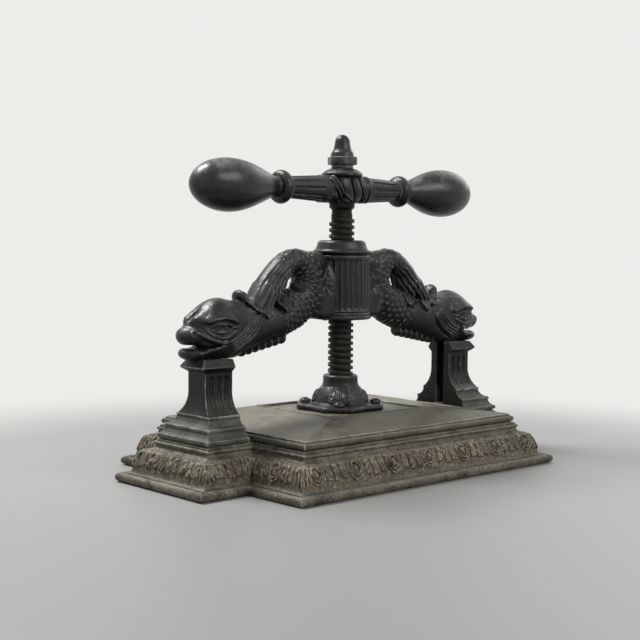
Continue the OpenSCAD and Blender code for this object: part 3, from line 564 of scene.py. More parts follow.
def skin_of(field, low, size):
    """Closed quads where a field of distances changes sign."""
    inside = field < 0
    corners = [np.array([i, j, k]) for i in (0, 1) for j in (0, 1) for k in (0, 1)]
    n = np.array(field.shape) - 1
    count = sum(inside[c[0]:c[0] + n[0], c[1]:c[1] + n[1], c[2]:c[2] + n[2]].astype(np.int8) for c in corners)
    mixed = (count > 0) & (count < 8)
    cells = np.argwhere(mixed)
    number = np.full(mixed.shape, -1, np.int64)
    number[mixed] = np.arange(len(cells))
    total, hits = np.zeros((len(cells), 3)), np.zeros(len(cells))
    for a in corners:
        for axis in range(3):
            if a[axis]:
                continue
            b = a.copy()
            b[axis] = 1
            fa, fb = field[tuple((cells + a).T)], field[tuple((cells + b).T)]
            cut = (fa < 0) != (fb < 0)
            t = np.where(cut, fa / np.where(cut, fa - fb, 1), 0)
            total += np.where(cut[:, None], a + t[:, None] * (b - a), 0)
            hits += cut
    points = low + (cells + total / hits[:, None]) * size
    quads = []
    for axis in range(3):
        u, v = (axis + 1) % 3, (axis + 2) % 3
        a, b = [slice(None)] * 3, [slice(None)] * 3
        a[axis], b[axis] = slice(0, -1), slice(1, None)
        for way in (True, False):
            edge = inside[tuple(a)] if way else ~inside[tuple(a)]
            other = ~inside[tuple(b)] if way else inside[tuple(b)]
            at = np.argwhere(edge & other)
            at = at[(at[:, u] > 0) & (at[:, v] > 0) & (at[:, u] < n[u]) & (at[:, v] < n[v])]
            du, dv = np.eye(3, dtype=int)[u], np.eye(3, dtype=int)[v]
            ring = [number[tuple((at - s).T)] for s in (du + dv, dv, 0 * du, du)]
            quads.append(np.stack(ring if way else ring[::-1], -1))
    return points, np.concatenate(quads)


def relaxed(points, quads, passes=2, hold=0.5):
    """Points eased towards their neighbours, to take the steps of the grid away."""
    a = np.concatenate([quads[:, i] for i in range(4)])
    b = np.concatenate([quads[:, (i + 1) % 4] for i in range(4)])
    count = np.bincount(a, minlength=len(points)) + np.bincount(b, minlength=len(points))
    for way in [hold, -hold * 0.9] * passes:
        mean = np.stack([np.bincount(a, points[b, i], len(points)) + np.bincount(b, points[a, i], len(points))
                         for i in range(3)], -1) / count[:, None]
        points = points + way * (mean - points)
    return points


def carved(field_of, low, high, size, even=True):
    """Shape of a field, one that is the same on both sides of Y = 0 unless said otherwise."""
    x = np.arange(low[0], high[0], size)
    y = (np.arange(math.ceil(high[1] / size)) + 0.5) * size
    z = np.arange(low[2], high[2], size)
    half = field_of(x[:, None, None], y[None, :, None], z[None, None, :])
    other = half if even else field_of(x[:, None, None], -y[None, :, None], z[None, None, :])
    whole = np.concatenate([other[:, ::-1], half], 1)
    points, quads = skin_of(whole, np.array([x[0], -y[-1], z[0]]), size)
    return relaxed(points, quads), [tuple(q) for q in quads.tolist()]


# Geometry Nodes helpers

def geometry_tree(name, inputs):
    tree = bpy.data.node_groups.new(name, "GeometryNodeTree")
    tree.interface.new_socket("Places", in_out="INPUT", socket_type="NodeSocketGeometry")
    for label, kind in inputs.items():
        tree.interface.new_socket(label, in_out="INPUT", socket_type="NodeSocket" + kind)
    tree.interface.new_socket("Geometry", in_out="OUTPUT", socket_type="NodeSocketGeometry")
    return tree, add_node(tree, "NodeGroupInput").outputs, add_node(tree, "NodeGroupOutput").inputs


def closing(tree, given, geometry, out):
    """Every tree ends with real geometry and its material."""
    real = add_node(tree, "GeometryNodeRealizeInstances")
    coat = add_node(tree, "GeometryNodeSetMaterial")
    tree.links.new(geometry, real.inputs["Geometry"])
    tree.links.new(real.outputs["Geometry"], coat.inputs["Geometry"])
    tree.links.new(given["Finish"], coat.inputs["Material"])
    tree.links.new(coat.outputs["Geometry"], out["Geometry"])


def grown(tree, values, places=None):
    """Shape made by a tree with these named inputs, on a mesh of places if it needs one."""
    host = add_object("host", places or bpy.data.meshes.new("host"))
    grow = host.modifiers.new("grow", "NODES")
    grow.node_group = tree
    for item in tree.interface.items_tree:
        if item.in_out == "INPUT" and item.name in values:
            grow[item.identifier] = values[item.name]
    bpy.context.view_layer.update()
    ready = host.evaluated_get(bpy.context.evaluated_depsgraph_get())
    mesh = bpy.data.meshes.new_from_object(ready)
    shape = shape_of(mesh)
    bpy.data.meshes.remove(mesh)
    host.modifiers.remove(grow)
    bpy.data.objects.remove(host)
    return shape


MOTIFS = ("First", "Second", "Third", "Fourth")


def make_copies_tree():
    """Copies of up to four motifs, one on each place, turned as the place says."""
    kinds = {label: "Object" for label in MOTIFS}
    tree, given, out = geometry_tree("copies on places", {**kinds, "Finish": "Material"})
    join = add_node(tree, "GeometryNodeJoinGeometry")
    turn = add_node(tree, "GeometryNodeInputNamedAttribute", data_type="FLOAT_VECTOR")
    turn.inputs["Name"].default_value = "turn"
    kind = add_node(tree, "GeometryNodeInputNamedAttribute", data_type="INT")
    kind.inputs["Name"].default_value = "kind"
    for number, label in enumerate(MOTIFS):
        same = add_node(tree, "FunctionNodeCompare", data_type="INT", operation="EQUAL")
        tree.links.new(kind.outputs["Attribute"], same.inputs[2])
        same.inputs[3].default_value = number
        info = add_node(tree, "GeometryNodeObjectInfo")
        info.inputs["As Instance"].default_value = True
        tree.links.new(given[label], info.inputs["Object"])
        put = add_node(tree, "GeometryNodeInstanceOnPoints")
        tree.links.new(given["Places"], put.inputs["Points"])
        tree.links.new(same.outputs["Result"], put.inputs["Selection"])
        tree.links.new(info.outputs["Geometry"], put.inputs["Instance"])
        tree.links.new(turn.outputs["Attribute"], put.inputs["Rotation"])
        tree.links.new(put.outputs["Instances"], join.inputs["Geometry"])
    closing(tree, given, join.outputs["Geometry"], out)
    return tree


COPIES = make_copies_tree()


def copies(places, motifs, finish):
    """Shape of motifs set on places, each given as (point, turn about Z in degrees, which motif)."""
    mesh = bpy.data.meshes.new("places")
    mesh.from_pydata([tuple(c * MM for c in at) for at, _, _ in places], [], [])
    mesh.attributes.new("turn", "FLOAT_VECTOR", "POINT")
    mesh.attributes.new("kind", "INT", "POINT")
    for i, (_, angle, which) in enumerate(places):
        mesh.attributes["turn"].data[i].vector = (0, 0, math.radians(angle))
        mesh.attributes["kind"].data[i].value = which
    hosts = [add_object(f"motif_{i}", mesh_of(f"motif_{i}", shape)) for i, shape in enumerate(motifs)]
    shape = grown(COPIES, {"Finish": finish, **dict(zip(MOTIFS, hosts))}, mesh)
    for host in hosts:
        bpy.data.objects.remove(host)
    return shape


def make_thread_tree():
    """Thread: a rounded bar wound round the screw."""
    tree, given, out = geometry_tree(
        "wound thread",
        {"Pitch": "Float", "Turns": "Float", "Radius": "Float", "Width": "Float", "Height": "Float",
         "Low": "Float", "Finish": "Material"})
    wind = add_node(tree, "GeometryNodeCurveSpiral")
    wind.inputs["Resolution"].default_value = THREAD_STEPS
    rise = add_node(tree, "ShaderNodeMath", operation="MULTIPLY")
    tree.links.new(given["Pitch"], rise.inputs[0])
    tree.links.new(given["Turns"], rise.inputs[1])
    tree.links.new(given["Turns"], wind.inputs["Rotations"])
    tree.links.new(given["Radius"], wind.inputs["Start Radius"])
    tree.links.new(given["Radius"], wind.inputs["End Radius"])
    tree.links.new(rise.outputs[0], wind.inputs["Height"])
    wind.inputs["Reverse"].default_value = False
    upright = add_node(tree, "GeometryNodeSetCurveNormal")
    upright.mode = "Z_UP"
    tree.links.new(wind.outputs["Curve"], upright.inputs["Curve"])
    bar = add_node(tree, "GeometryNodeCurvePrimitiveQuadrilateral")
    tree.links.new(given["Width"], bar.inputs["Height"])
    tree.links.new(given["Height"], bar.inputs["Width"])
    soft = add_node(tree, "GeometryNodeFilletCurve", mode="POLY")
    soft.inputs["Radius"].default_value = THREAD_SOFT * MM
    soft.inputs["Count"].default_value = 3
    tree.links.new(bar.outputs["Curve"], soft.inputs["Curve"])
    solid = add_node(tree, "GeometryNodeCurveToMesh")
    tree.links.new(upright.outputs["Curve"], solid.inputs["Curve"])
    tree.links.new(soft.outputs["Curve"], solid.inputs["Profile Curve"])
    solid.inputs["Fill Caps"].default_value = True
    lift = add_node(tree, "GeometryNodeTransform")
    place = add_node(tree, "ShaderNodeCombineXYZ")
    tree.links.new(given["Low"], place.inputs["Z"])
    tree.links.new(solid.outputs["Mesh"], lift.inputs["Geometry"])
    tree.links.new(place.outputs[0], lift.inputs["Translation"])
    closing(tree, given, lift.outputs["Geometry"], out)
    return tree


# Base

def base_profile():
    """Section of the base as [out, height]: bed edge, bead, hollow, band, hollow, toe, and back up inside."""
    cavetto_z, out = BED_Z - BED_EDGE_H - 2 * BEAD_R_BED, BAND_HIGH[0]
    line = [[-2.6, BED_Z], [-2.2, BED_Z - 0.5], [-0.5, BED_Z - 0.6], [0, BED_Z - 1.1],
            [0, BED_Z - BED_EDGE_H]]
    line += arc((0.6, cavetto_z + BEAD_R_BED), BEAD_R_BED, BEAD_R_BED, 90, -90, 8)
    line += arc((out - LIP, cavetto_z), out - LIP - 0.6, cavetto_z - BAND_HIGH[1] - LIP, 181, 270, 7)
    line += [[out - 0.5, BAND_HIGH[1] + 0.5]]
    line += band_line(14)
    line += arc((BAND_LOW[0] + 4.2, BAND_LOW[1] - 0.2), 4.0, 4.6, 186, 270, 7)
    line += [[21.0, 9.0], [21.4, 7.8]]
    line += arc((BASE_OUT - TOE_R, TOE_H / 2), TOE_R, TOE_H / 2, 128, -72, 17)
    return line + [[25.2, 0], [15.5, 0], [-0.8, 33]]


def band_centre():
    """Middle of the arc of the band, inside the base."""
    low, high = np.array(BAND_LOW), np.array(BAND_HIGH)
    half = np.linalg.norm(high - low) / 2
    across = np.array([-(high - low)[1], (high - low)[0]]) / (2 * half)
    return (low + high) / 2 + across * math.sqrt(BAND_R ** 2 - half ** 2)


def band_line(n):
    """The swelling band from its top to its foot."""
    centre = band_centre()
    a, b = (math.degrees(math.atan2(p[1] - centre[1], p[0] - centre[0])) for p in (BAND_HIGH, BAND_LOW))
    return arc(centre, BAND_R, BAND_R, a, b, n)


def base_ring(o, z):
    bx, by, px, py = BED_X + o, BED_Y + o, PEDESTAL_X + o, PEDESTAL_Y + o
    corners = [(px, -py), (px, py), (bx, py), (bx, by), (-bx, by), (-bx, py),
               (-px, py), (-px, -py), (-bx, -py), (-bx, -by), (bx, -by), (bx, -py)]
    return soft_ring([(x, y, z) for x, y in corners], [20, 14, 18, 70, 18, 14] * 2)


def soft_ring(corners, counts, ease=0.9):
    """Ring along straight sides with eased corners and a set number of points on each side."""
    corners = np.asarray(corners, float)
    out = []
    for a, b, n in zip(corners, np.roll(corners, -1, 0), counts):
        edge = ease / np.linalg.norm(b - a)
        shares = np.concatenate([[0, edge], np.linspace(2.5 * edge, 1 - 2.5 * edge, n), [1 - edge]])
        out.append(a + (b - a) * shares[:, None])
    ring = np.concatenate(out)
    at = np.cumsum([0] + [n + 3 for n in counts[:-1]])
    ring[at] += ((ring[at - 1] + ring[at + 1]) / 2 - ring[at]) * 0.45
    return ring


def build_base():
    """Casting with a round seat for each tie bolt in its hollow."""
    points, faces = lofted([base_ring(o, z) for o, z in base_profile()][::-1])
    seat = turned([[0, TIE_SEAT_LOW], [TIE_SEAT_R - 0.4, TIE_SEAT_LOW], [TIE_SEAT_R, TIE_SEAT_LOW + 0.4],
                   [TIE_SEAT_R, TIE_SEAT_TOP], [0, TIE_SEAT_TOP]], 48)
    seats = [moved(seat, (x, 0, 0)) for x in (-TIE_X, TIE_X)]
    return joined((wavering(points, 0.16, 70.0, 3), faces), *seats)


def relief_block(half, columns, height, corner=False, rows=26):
    """Carved patch that lies on the band: x along it, y outwards (negative), with a closed back."""
    line = np.array(band_line(rows))[::-1]
    centre = band_centre()
    across = np.linspace(-half, half, columns)
    front, back = [], []
    for j, p in enumerate(line):
        way = (p - centre) / BAND_R
        t = j / rows
        rise = height(across, t)
        for depth, into in ((rise - 0.35, front), (np.full(columns, -2.2), back)):
            out = p[0] + way[0] * depth
            up = p[1] + way[1] * depth
            if corner:
                y = -(out * math.sqrt(2)) + np.abs(across)
            else:
                y = -out
            into.append(np.stack([across, y + 0 * across, up + 0 * across], -1))
    points = np.concatenate(front + back)
    n = len(line)
    faces = grid_faces(n, columns, False)
    shift = n * columns
    faces += [tuple(i + shift for i in f[::-1]) for f in faces[:]]
    rim = (list(range(columns)) + [i * columns + columns - 1 for i in range(1, n)]
           + [(n - 1) * columns + k for k in range(columns - 2, -1, -1)]
           + [i * columns for i in range(n - 2, 0, -1)])
    faces += [(b, a, a + shift, b + shift) for a, b in zip(rim, rim[1:] + rim[:1])]
    return points, faces


BAND_LENGTH, EGG_STEP, END_EGG_Y = 19.8, 49.5, 88.0
EGG_HALF, LEAF_HALF, TIP_HALF, CORNER_HALF = 9.0, 15.75, 8.0, 11.0
EGG, LEAF, TIP, CORNER = range(4)
PEDESTAL_LEAVES = ((168.0, TIP), (190.0, LEAF), (212.0, TIP))


def egg_height(x, t):
    """Oval boss in a raised ring, with a shell below it and a leaf edge on each side."""
    up = (t - 0.57) * BAND_LENGTH
    q = np.hypot(x / 4.5, up / 6.3)
    ring = 2.7 * bump(q - 1.05, 0.19)
    dome = 3.0 * np.clip(1 - (q / 0.74) ** 2, 0, 1) ** 0.6
    shell = 2.4 * bump(q - 1.55, 0.2) * step(-up, -5.0, 0.5)
    beside = 2.2 * bump(np.abs(x) - 7.9 - 0.8 * (1 - t), 0.9) * step(t, 0.2, 0.4)
    relief = np.maximum(np.maximum(ring, dome), np.maximum(shell, beside))
    return relief * step(t, 0.0, 0.05) * step(-t, -1.0, -0.95)


def leaf_height(x, t, lobes=1, spread=9.6):
    """Hanging leaf of fat lobes with deep slots between them, longest in the middle."""
    out = np.zeros_like(x)
    for lobe in range(-lobes, lobes + 1):
        middle = lobe * (spread + 1.2 * (0.5 - t)) + 0.7 * np.sin(5.0 * t + lobe)
        tip = 0.05 + 0.07 * abs(lobe)
        half = spread * (0.38 + 0.09 * bump(t - 0.45, 0.3))
        body = step(t, tip, tip + 0.16) * step(-t, -0.99, -0.88)
        fat = np.sqrt(np.clip(1 - ((x - middle) / half) ** 2, 0, 1)) * (2.9 - 0.3 * abs(lobe))
        vein = 0.8 * bump(x - middle, 0.7) * step(t, tip + 0.1, tip + 0.25) * step(-t, -0.8, -0.6)
        out = np.maximum(out, (fat - vein) * body)
    return out


def tip_height(x, t):
    """Short leaf of three narrow lobes, for the ends of a run."""
    return leaf_height(x, t, 1, 5.4)


def corner_height(x, t):
    """Leaf folded over a corner."""
    edge = 4.2 + 5.4 * np.sin(np.pi * np.clip(0.15 + 0.75 * t, 0, 1)) * (1 - 0.25 * t)
    body = step(edge - np.abs(x), 0.0, 1.6) * step(t, 0.02, 0.14) * step(-t, -1.0, -0.9)
    ribs = 0.4 * np.cos(np.abs(x) * 2.0 - 3.0 * (1 - t))
    return body * (1.4 + 1.7 * ribs)


def band_places():
    """Places of the motifs round the base: eggs and leaves by turns, leaf tips to fill the ends of a run."""
    places = []
    beyond = EGG_HALF + TIP_HALF
    for turn, sign in ((0, 1), (180, -1)):
        places += [((k * EGG_STEP, -sign * BED_Y, 0), turn, EGG) for k in range(-3, 4)]
        places += [(((k + 0.5) * EGG_STEP, -sign * BED_Y, 0), turn, LEAF) for k in range(-3, 3)]
        places += [((end * x, -sign * PEDESTAL_Y, 0), turn, which) for end in (-1, 1)
                   for x, which in PEDESTAL_LEAVES]
    for turn, sign in ((90, 1), (270, -1)):
        places += [((sign * PEDESTAL_X, k * 2 * LEAF_HALF, 0), turn, LEAF) for k in (-1, 0, 1)]
        for side in (-1, 1):
            middle = side * END_EGG_Y
            places.append(((sign * BED_X, middle, 0), turn, EGG))
            places += [((sign * BED_X, middle + side * off, 0), turn, TIP)
                       for off in (-2 * TIP_HALF - beyond, -beyond, beyond)]
    for x, y in ((BED_X, BED_Y), (PEDESTAL_X, PEDESTAL_Y)):
        places += [((x, y, 0), 135, CORNER), ((-x, y, 0), 225, CORNER),
                   ((-x, -y, 0), 315, CORNER), ((x, -y, 0), 45, CORNER)]
    return places


# Turns of the motifs on each side: those along it, and the corner leaves at one end of it
BAND_SIDES = {"front": (0, 315), "right": (90, 45), "back": (180, 135), "left": (270, 225)}


def build_band(turns):
    """Carving of one side, with the corner leaves at one end of it."""
    motifs = [relief_block(EGG_HALF, 34, egg_height), relief_block(LEAF_HALF, 64, leaf_height),
              relief_block(TIP_HALF, 33, tip_height),
              relief_block(CORNER_HALF, 37, corner_height, corner=True)]
    points, faces = copies([place for place in band_places() if place[1] in turns], motifs, DUSTY_IRON)
    points = wavering(points, 0.3, 5.0, 8)
    return wavering(points, 0.3, 15.0, 9), faces


piece("base_casting", build_base(), DUSTY_IRON, "frame", ["base"], sharp=40.0)
for band_side, band_turns in BAND_SIDES.items():
    piece(f"base_carving_{band_side}", build_band(band_turns), DUSTY_IRON, "frame", sharp=60.0)


# Platen

def rectangle(hx, hy, z):
    return soft_ring([(hx, -hy, z), (hx, hy, z), (-hx, hy, z), (-hx, -hy, z)], [46, 60] * 2)


def build_platen():
    """Moulded rim, four slopes up to a ridge, a sunk panel, and a guide tongue at each end."""
    rim = [[-3.6, PLATEN_Z], [-3.2, PLATEN_Z + 0.7]] + arc((-1.7, PLATEN_Z + 3.4), 1.7, 2.7, -80, 90, 8)
    rim += [[-3.0, PLATEN_Z + 6.0], [-3.3, PLATEN_Z + 6.5], [-3.3, PLATEN_Z + 7.7], [-3.8, PLATEN_Z + 8.2],
            [-4.6, PLATEN_Z + 8.1], [-5.0, PLATEN_Z + 7.2], [-5.8, PLATEN_Z + 7.7]]
    line = [[-40, -40, PLATEN_Z], [-6, -6, PLATEN_Z]] + [[o, o, z] for o, z in rim]
    rx, ry = RIDGE_X - PLATEN_X, RIDGE_Y - PLATEN_Y
    line += [[rx, ry, RIDGE_Z - 0.2], [rx + 0.2, ry + 0.2, RIDGE_Z + 0.25],
             [rx - 2.4, ry - 2.4, RIDGE_Z + 0.25], [rx - 3.0, ry - 3.0, PANEL_Z], [rx - 14, ry - 14, PANEL_Z]]
    line = refined(softened(line, 0.6, 3), 5.0)
    rings = [rectangle(PLATEN_X + a, PLATEN_Y + b, z) for a, b, z in line]
    body = lofted(rings)
    points = wavering(body[0], 0.14, 60.0, 11)
    tongues = []
    for end in (-1, 1):
        low, high = sorted((end * TONGUE_IN, end * TONGUE_OUT))
        plan = [(high, -TONGUE_Y), (high, TONGUE_Y), (low, TONGUE_Y), (low, -TONGUE_Y)]
        tongues.append(lofted([[(x, y, z) for x, y in plan] for z in (PLATEN_Z, PLATEN_Z + TONGUE_H)]))
    return joined((points, body[1]), *tongues)


piece("platen_casting", build_platen(), PLATEN_IRON, "platen", ["platen"], sharp=40.0)


# Columns

def column_line():
    """Face of a column from the capital down, as [offset in front, offset at the outer end, height]."""
    share, wider = 0.4, 1.0
    line = [[1, 2.5, CAPITAL_Z], [CAPITAL_OUT, CAPITAL_OUT + 2.5, CAPITAL_FOOT + 5],
            [CAPITAL_OUT - 0.6, CAPITAL_OUT + 1.9, CAPITAL_FOOT + 4], [0, wider, CAPITAL_FOOT]]
    flare = arc((FLARE_R, FLARE_TOP), FLARE_R, FLARE_R, 180, 180 + FLARE_ANGLE, 14)
    line += [[o, wider + o * share, z] for o, z in flare]
    out = flare[-1][0]
    foot = [[0.9, FOOT_TOP], [0.9, FOOT_TOP - 2.0], [0.2, FOOT_TOP - 2.5], [1.0, 64.2], [2.6, 61.4],
            [5.2, 59.2], [7.9, 58.5], [9.0, 58.4], [9.9, 57.8], [9.9, 55.6], [9.0, 55.1], [9.6, 52.9],
            [11.2, 50.4], [13.4, 48.9], [14.6, 48.7], [FOOT_OUT, 48.1], [FOOT_OUT + 0.3, 46.4],
            [FOOT_OUT, 45.0], [FOOT_OUT - 1.8, 44.3], [FOOT_OUT - 2.2, BED_Z]]
    end = COLUMN_OUT + wider + out * share
    reach = PEDESTAL_X - end
    return line + [[out + o, wider + out * share + o * reach / FOOT_OUT, z] for o, z in foot]


def flute_depth(x, z):
    """Three round-ended flutes on a column face."""
    depth = np.zeros(np.broadcast(x, z).shape)
    for k in (-1, 0, 1):
        gap = np.hypot(x - k * FLUTE_STEP, np.maximum(np.maximum(FLUTE_LOW - z, z - FLUTE_HIGH), 0))
        depth = np.maximum(depth, FLUTE_DEEP * np.sqrt(np.clip(1 - (gap / FLUTE_HALF) ** 2, 0, 1)))
    return depth


def column_ring(full, outer, z):
    """Section of the right column: fluted front and back, plain outer end, guide groove on the inner face."""
    w, out = SHAFT_Y + full, COLUMN_OUT + outer
    ease = 0.8
    face = np.concatenate([[COLUMN_IN], np.linspace(COLUMN_IN + ease, out - ease, 46)])
    depth = flute_depth(face - COLUMN_MID, z)
    front = np.stack([face, -w + depth, np.full(len(face), z)], -1)
    side_y = np.concatenate([[-w], np.linspace(-w + ease, w - ease, 26)])
    side = np.stack([np.full(len(side_y), out), side_y, np.full(len(side_y), z)], -1)
    side[0] += ((front[-1] + side[1]) / 2 - side[0]) * 0.4
    back = np.stack([face, w - depth, np.full(len(face), z)], -1)[::-1]
    corner = np.array([[out, w, z]])
    corner += ((side[-1] + back[0]) / 2 - corner) * 0.4
    flat = [(COLUMN_IN, y, z) for y in (w - ease, GROOVE_Y + ease, GROOVE_Y)]
    notch = np.array(flat + [(COLUMN_IN + GROOVE_D, GROOVE_Y, z), (COLUMN_IN + GROOVE_D, -GROOVE_Y, z)]
                     + [(x, -y, h) for x, y, h in flat[::-1]])
    return np.concatenate([front, side, corner, back, notch])


def build_column():
    line = refined(softened(column_line(), 0.5, 2), 1.1)
    points, faces = lofted([column_ring(*p) for p in line][::-1])
    return wavering(points, 0.1, 40.0, 21), faces


pair("column", build_column(), COLUMN_IRON, "frame", sharp=44.0)


# Dolphins

# Stations of the body and the tail, as [out, up, half height, half width]
BODY = [[158.25, 149.5, 27.3, 20.7], [128.25, 150.5, 24.0, 19.3], [104, 154, 19.5, 18.5],
        [81, 159.05, 19.5, 17.7], [61, 170.4, 20.4, 17.4], [47, 187.05, 19.6, 16.6], [51, 204.6, 16.4, 15.2],
        [63, 212.55, 12.6, 13.5]]
TAIL = [[55, 209.05, 12.2, 12.9], [65, 212.85, 12.2, 13.5], [76, 210.25, 12.2, 13.5],
        [86, 202.05, 12.9, 14.4], [95.2, 190.9, 14.5, 15.0], [104.4, 179.6, 14.4, 15.8],
        [115.5, 166.5, 12.5, 16.0]]
FOLD_STEP = 5.6

# Side view of the leafy tail fin: its outline, ribs, pit and rolled margin
FIN = [[97, 203], [110, 193], [121, 185], [129, 182], [134, 182], [138.5, 180], [137.5, 177.6], [134.5, 175],
       [131.5, 171.2], [128.6, 167.2], [125.5, 164.6], [121.3, 165.8], [118, 161.5], [114.3, 157.8],
       [110, 159.6], [106.5, 164], [103, 171], [101, 172.4], [98.5, 168.5], [95.5, 163.6], [92, 161.4],
       [88.5, 162.6], [84, 164.4], [81.3, 167.5], [81.8, 174], [84, 183], [87, 193]]
RIBS = [[[106, 199], [119, 188], [128, 180.5], [134.5, 177.6]],
        [[104.5, 197.5], [117, 183.5], [126, 173.5], [129.5, 169.6]],
        [[102.5, 196.5], [112, 181], [120, 169], [124, 165.8]],
        [[100.5, 195.5], [107.5, 180], [112.6, 168], [114.8, 160]],
        [[98.5, 194.5], [103, 180], [107.2, 170], [109.2, 162.5]],
        [[96, 194], [97.2, 180], [95.3, 170], [93.2, 163.2]],
        [[93.5, 193], [92, 182], [88, 172], [85, 166]]]
FIN_PIT = [[104.0, 174.5], [98.2, 169.4], [92.0, 163.4]]
FIN_MARGIN = [[137.5, 178.4], [134.4, 175.8], [131, 171.8], [127.6, 167.6], [122.5, 165.4]]

# Rounded parts, as the middle and the half sizes
ROOT = (22.0, 0, 184.0), (15.5, 17.2, 33.0)
SADDLE = (40, 0, 210.0), (18, 12.0, 12.6)
CREST = (0, 0, 177.2), (6.0, 10.6, 8.2)
CREST_HOLLOW = (125.5, 0, 185.5), (6.5, 7.5, 6.0)
SKULL = (HEAD[0], 0, HEAD[1]), (28.5, 22.0, 29.3)

# Bridge, snout, chin and throat: [out, up] from the middle of the head, half sizes, softness of the join
HEAD_LUMPS = [((18.5, 4.5), (9.6, 13.5, 8.0), 3.0), ((23.2, -6.1), (14.4, 15, 10.3), 2.5),
              ((20.2, -22.6), (15, 14.5, 7.2), 3.0), ((-18, -19.5), (19, 14, 10.5), 5.0)]
LOOP_HOLE, TEETH = (72.4, 190.5), 7

# Lines and spots of the face, as [out, up] from the middle of the head
BROW = [[24.5, 11.5], [20.5, 8.0], [15, 8.1], [8.9, 9.7], [0, 10.9], [-7.8, 9.4], [-16, 6.4]]
UPPER_LID = [[14.2, 1.2], [9.6, 4.9], [3.5, 6.3], [-3.4, 5.5], [-11, 2.0], [-17, 1.2]]
LOWER_LID = [[14.2, 1.2], [9.0, -2.6], [3.0, -3.9], [-4, -2.6], [-11.4, 1.8]]
BAG = [[19, 0.5], [12, -5.4], [3.5, -7.9], [-5, -6.9], [-16, -0.8]]
LIP_LINE = [[26, -2.6], [22.6, -4.6], [16.3, -8.6], [8.5, -11.6], [0.6, -13.4], [-2.4, -12.2]]
MOUTH = [[42, -15.6], [27, -16.2], [18.5, -16.8], [11.5, -16.4], [4.0, -15.2], [-1.0, -13.6]]
CHIN = [[22, -21.6], [11, -20.4], [3, -18.2], [-2, -15.8]]
GILL_TOP = np.array([[-3, -13.4], [-9.4, -12.2], [-16.3, -9.4], [-23.3, -5], [-30.3, 0.4], [-36, 7],
                     [-38, 11]])
GILL_LOW = np.array([[-12, -23.5], [-22, -18.7], [-29, -14.7], [-36, -10.1], [-41.5, -4.6], [-45.5, 2],
                     [-47.2, 9]])
GILL_SHARES = (0.0, 0.3, 0.6, 0.88)
GILL_EDGE = [[-30, 19.4], [-40, 19.2], [-46.5, 16], [-48.4, 9.6], [-46.6, 2.2], [-42.6, -4.8], [-36.5, -10.8],
             [-29, -15.6], [-21.5, -19.8], [-12, -25]]
STUDS = [[-40.5, 15.4], [-34, 9.0], [-42, 2.6]]
WRINKLE_ROWS = [[1.2, 14.6], [-1.4, 18.4]]
EYE_SOCKET, EYE, EYE_HALF, PUPIL = (1.5, 0.8), (2.4, 1.0), (8.2, 4.9), (3.4, 1.4)
NOSTRIL = (29.4, 13.2, -3.2)


def curve(stations, n=10):
    """Smooth line through stations."""
    s = np.asarray(stations, float)
    out = []
    for i in range(len(s) - 1):
        a, b, c, d = s[max(i - 1, 0)], s[i], s[i + 1], s[min(i + 2, len(s) - 1)]
        for t in np.arange(n) / n:
            out.append((2 * b + (c - a) * t + (2 * a - 5 * b + 4 * c - d) * t ** 2
                        + (3 * b - a - 3 * c + d) * t ** 3) / 2)
    return np.array(out + [s[-1]])


def limb(x, y, z, stations):
    """Distance to an oval limb along stations, with how far along and how far round each place is."""
    path = curve(stations)
    gap, over, share = from_line(x, z, path[:, :2])
    lengths = np.concatenate([[0], np.cumsum(np.linalg.norm(np.diff(path[:, :2], axis=0), axis=1))])
    run = share * lengths[-1]
    rn, ry = np.interp(run, lengths, path[:, 2]), np.interp(run, lengths, path[:, 3])
    q = np.sqrt((gap / rn) ** 2 + (y / ry) ** 2)
    s = np.sqrt((gap / rn ** 2) ** 2 + (y / ry ** 2) ** 2)
    d = q * (q - 1) / np.maximum(s, 1e-6)
    round_at = np.arctan2(y / ry, np.where(over > 0, gap, -gap) / rn) * (rn + ry) / 2
    return d, run, round_at


def chance(row, column):
    """A number from 0 to 1 that looks random and is always the same for one scale."""
    return np.mod(np.sin(row * 12.9898 + column * 78.233) * 43758.5453, 1.0)


def scales(run, across, length=6.0, width=7.2):
    """Rows of overlapping scales, uneven lumps that rise to a rounded free edge."""
    row = np.floor(run / length)
    best = np.full(np.broadcast(run, across).shape, 1e9)
    prior = np.full(best.shape, -1e9)
    crown, lump = np.zeros(best.shape), np.zeros(best.shape)
    for k in (-1, 0, 1):
        i = row + k
        at = across / width + 0.5 * np.mod(i, 2)
        u = np.mod(at, 1.0) * 2 - 1
        edge = i * length + 0.8 * length * np.sqrt(np.clip(1 - u * u, 0, 1))
        over = (edge >= run) & (edge < best)
        best = np.where(over, edge, best)
        crown = np.where(over, 1 - u * u, crown)
        lump = np.where(over, chance(i, np.floor(at)), lump)
        prior = np.where((edge < run) & (edge > prior), edge, prior)
    share = np.clip((run - prior) / np.maximum(best - prior, 0.3), 0, 1)
    return share ** 1.2 * (0.4 + 0.6 * crown) * (0.75 + 0.5 * lump) - 0.4


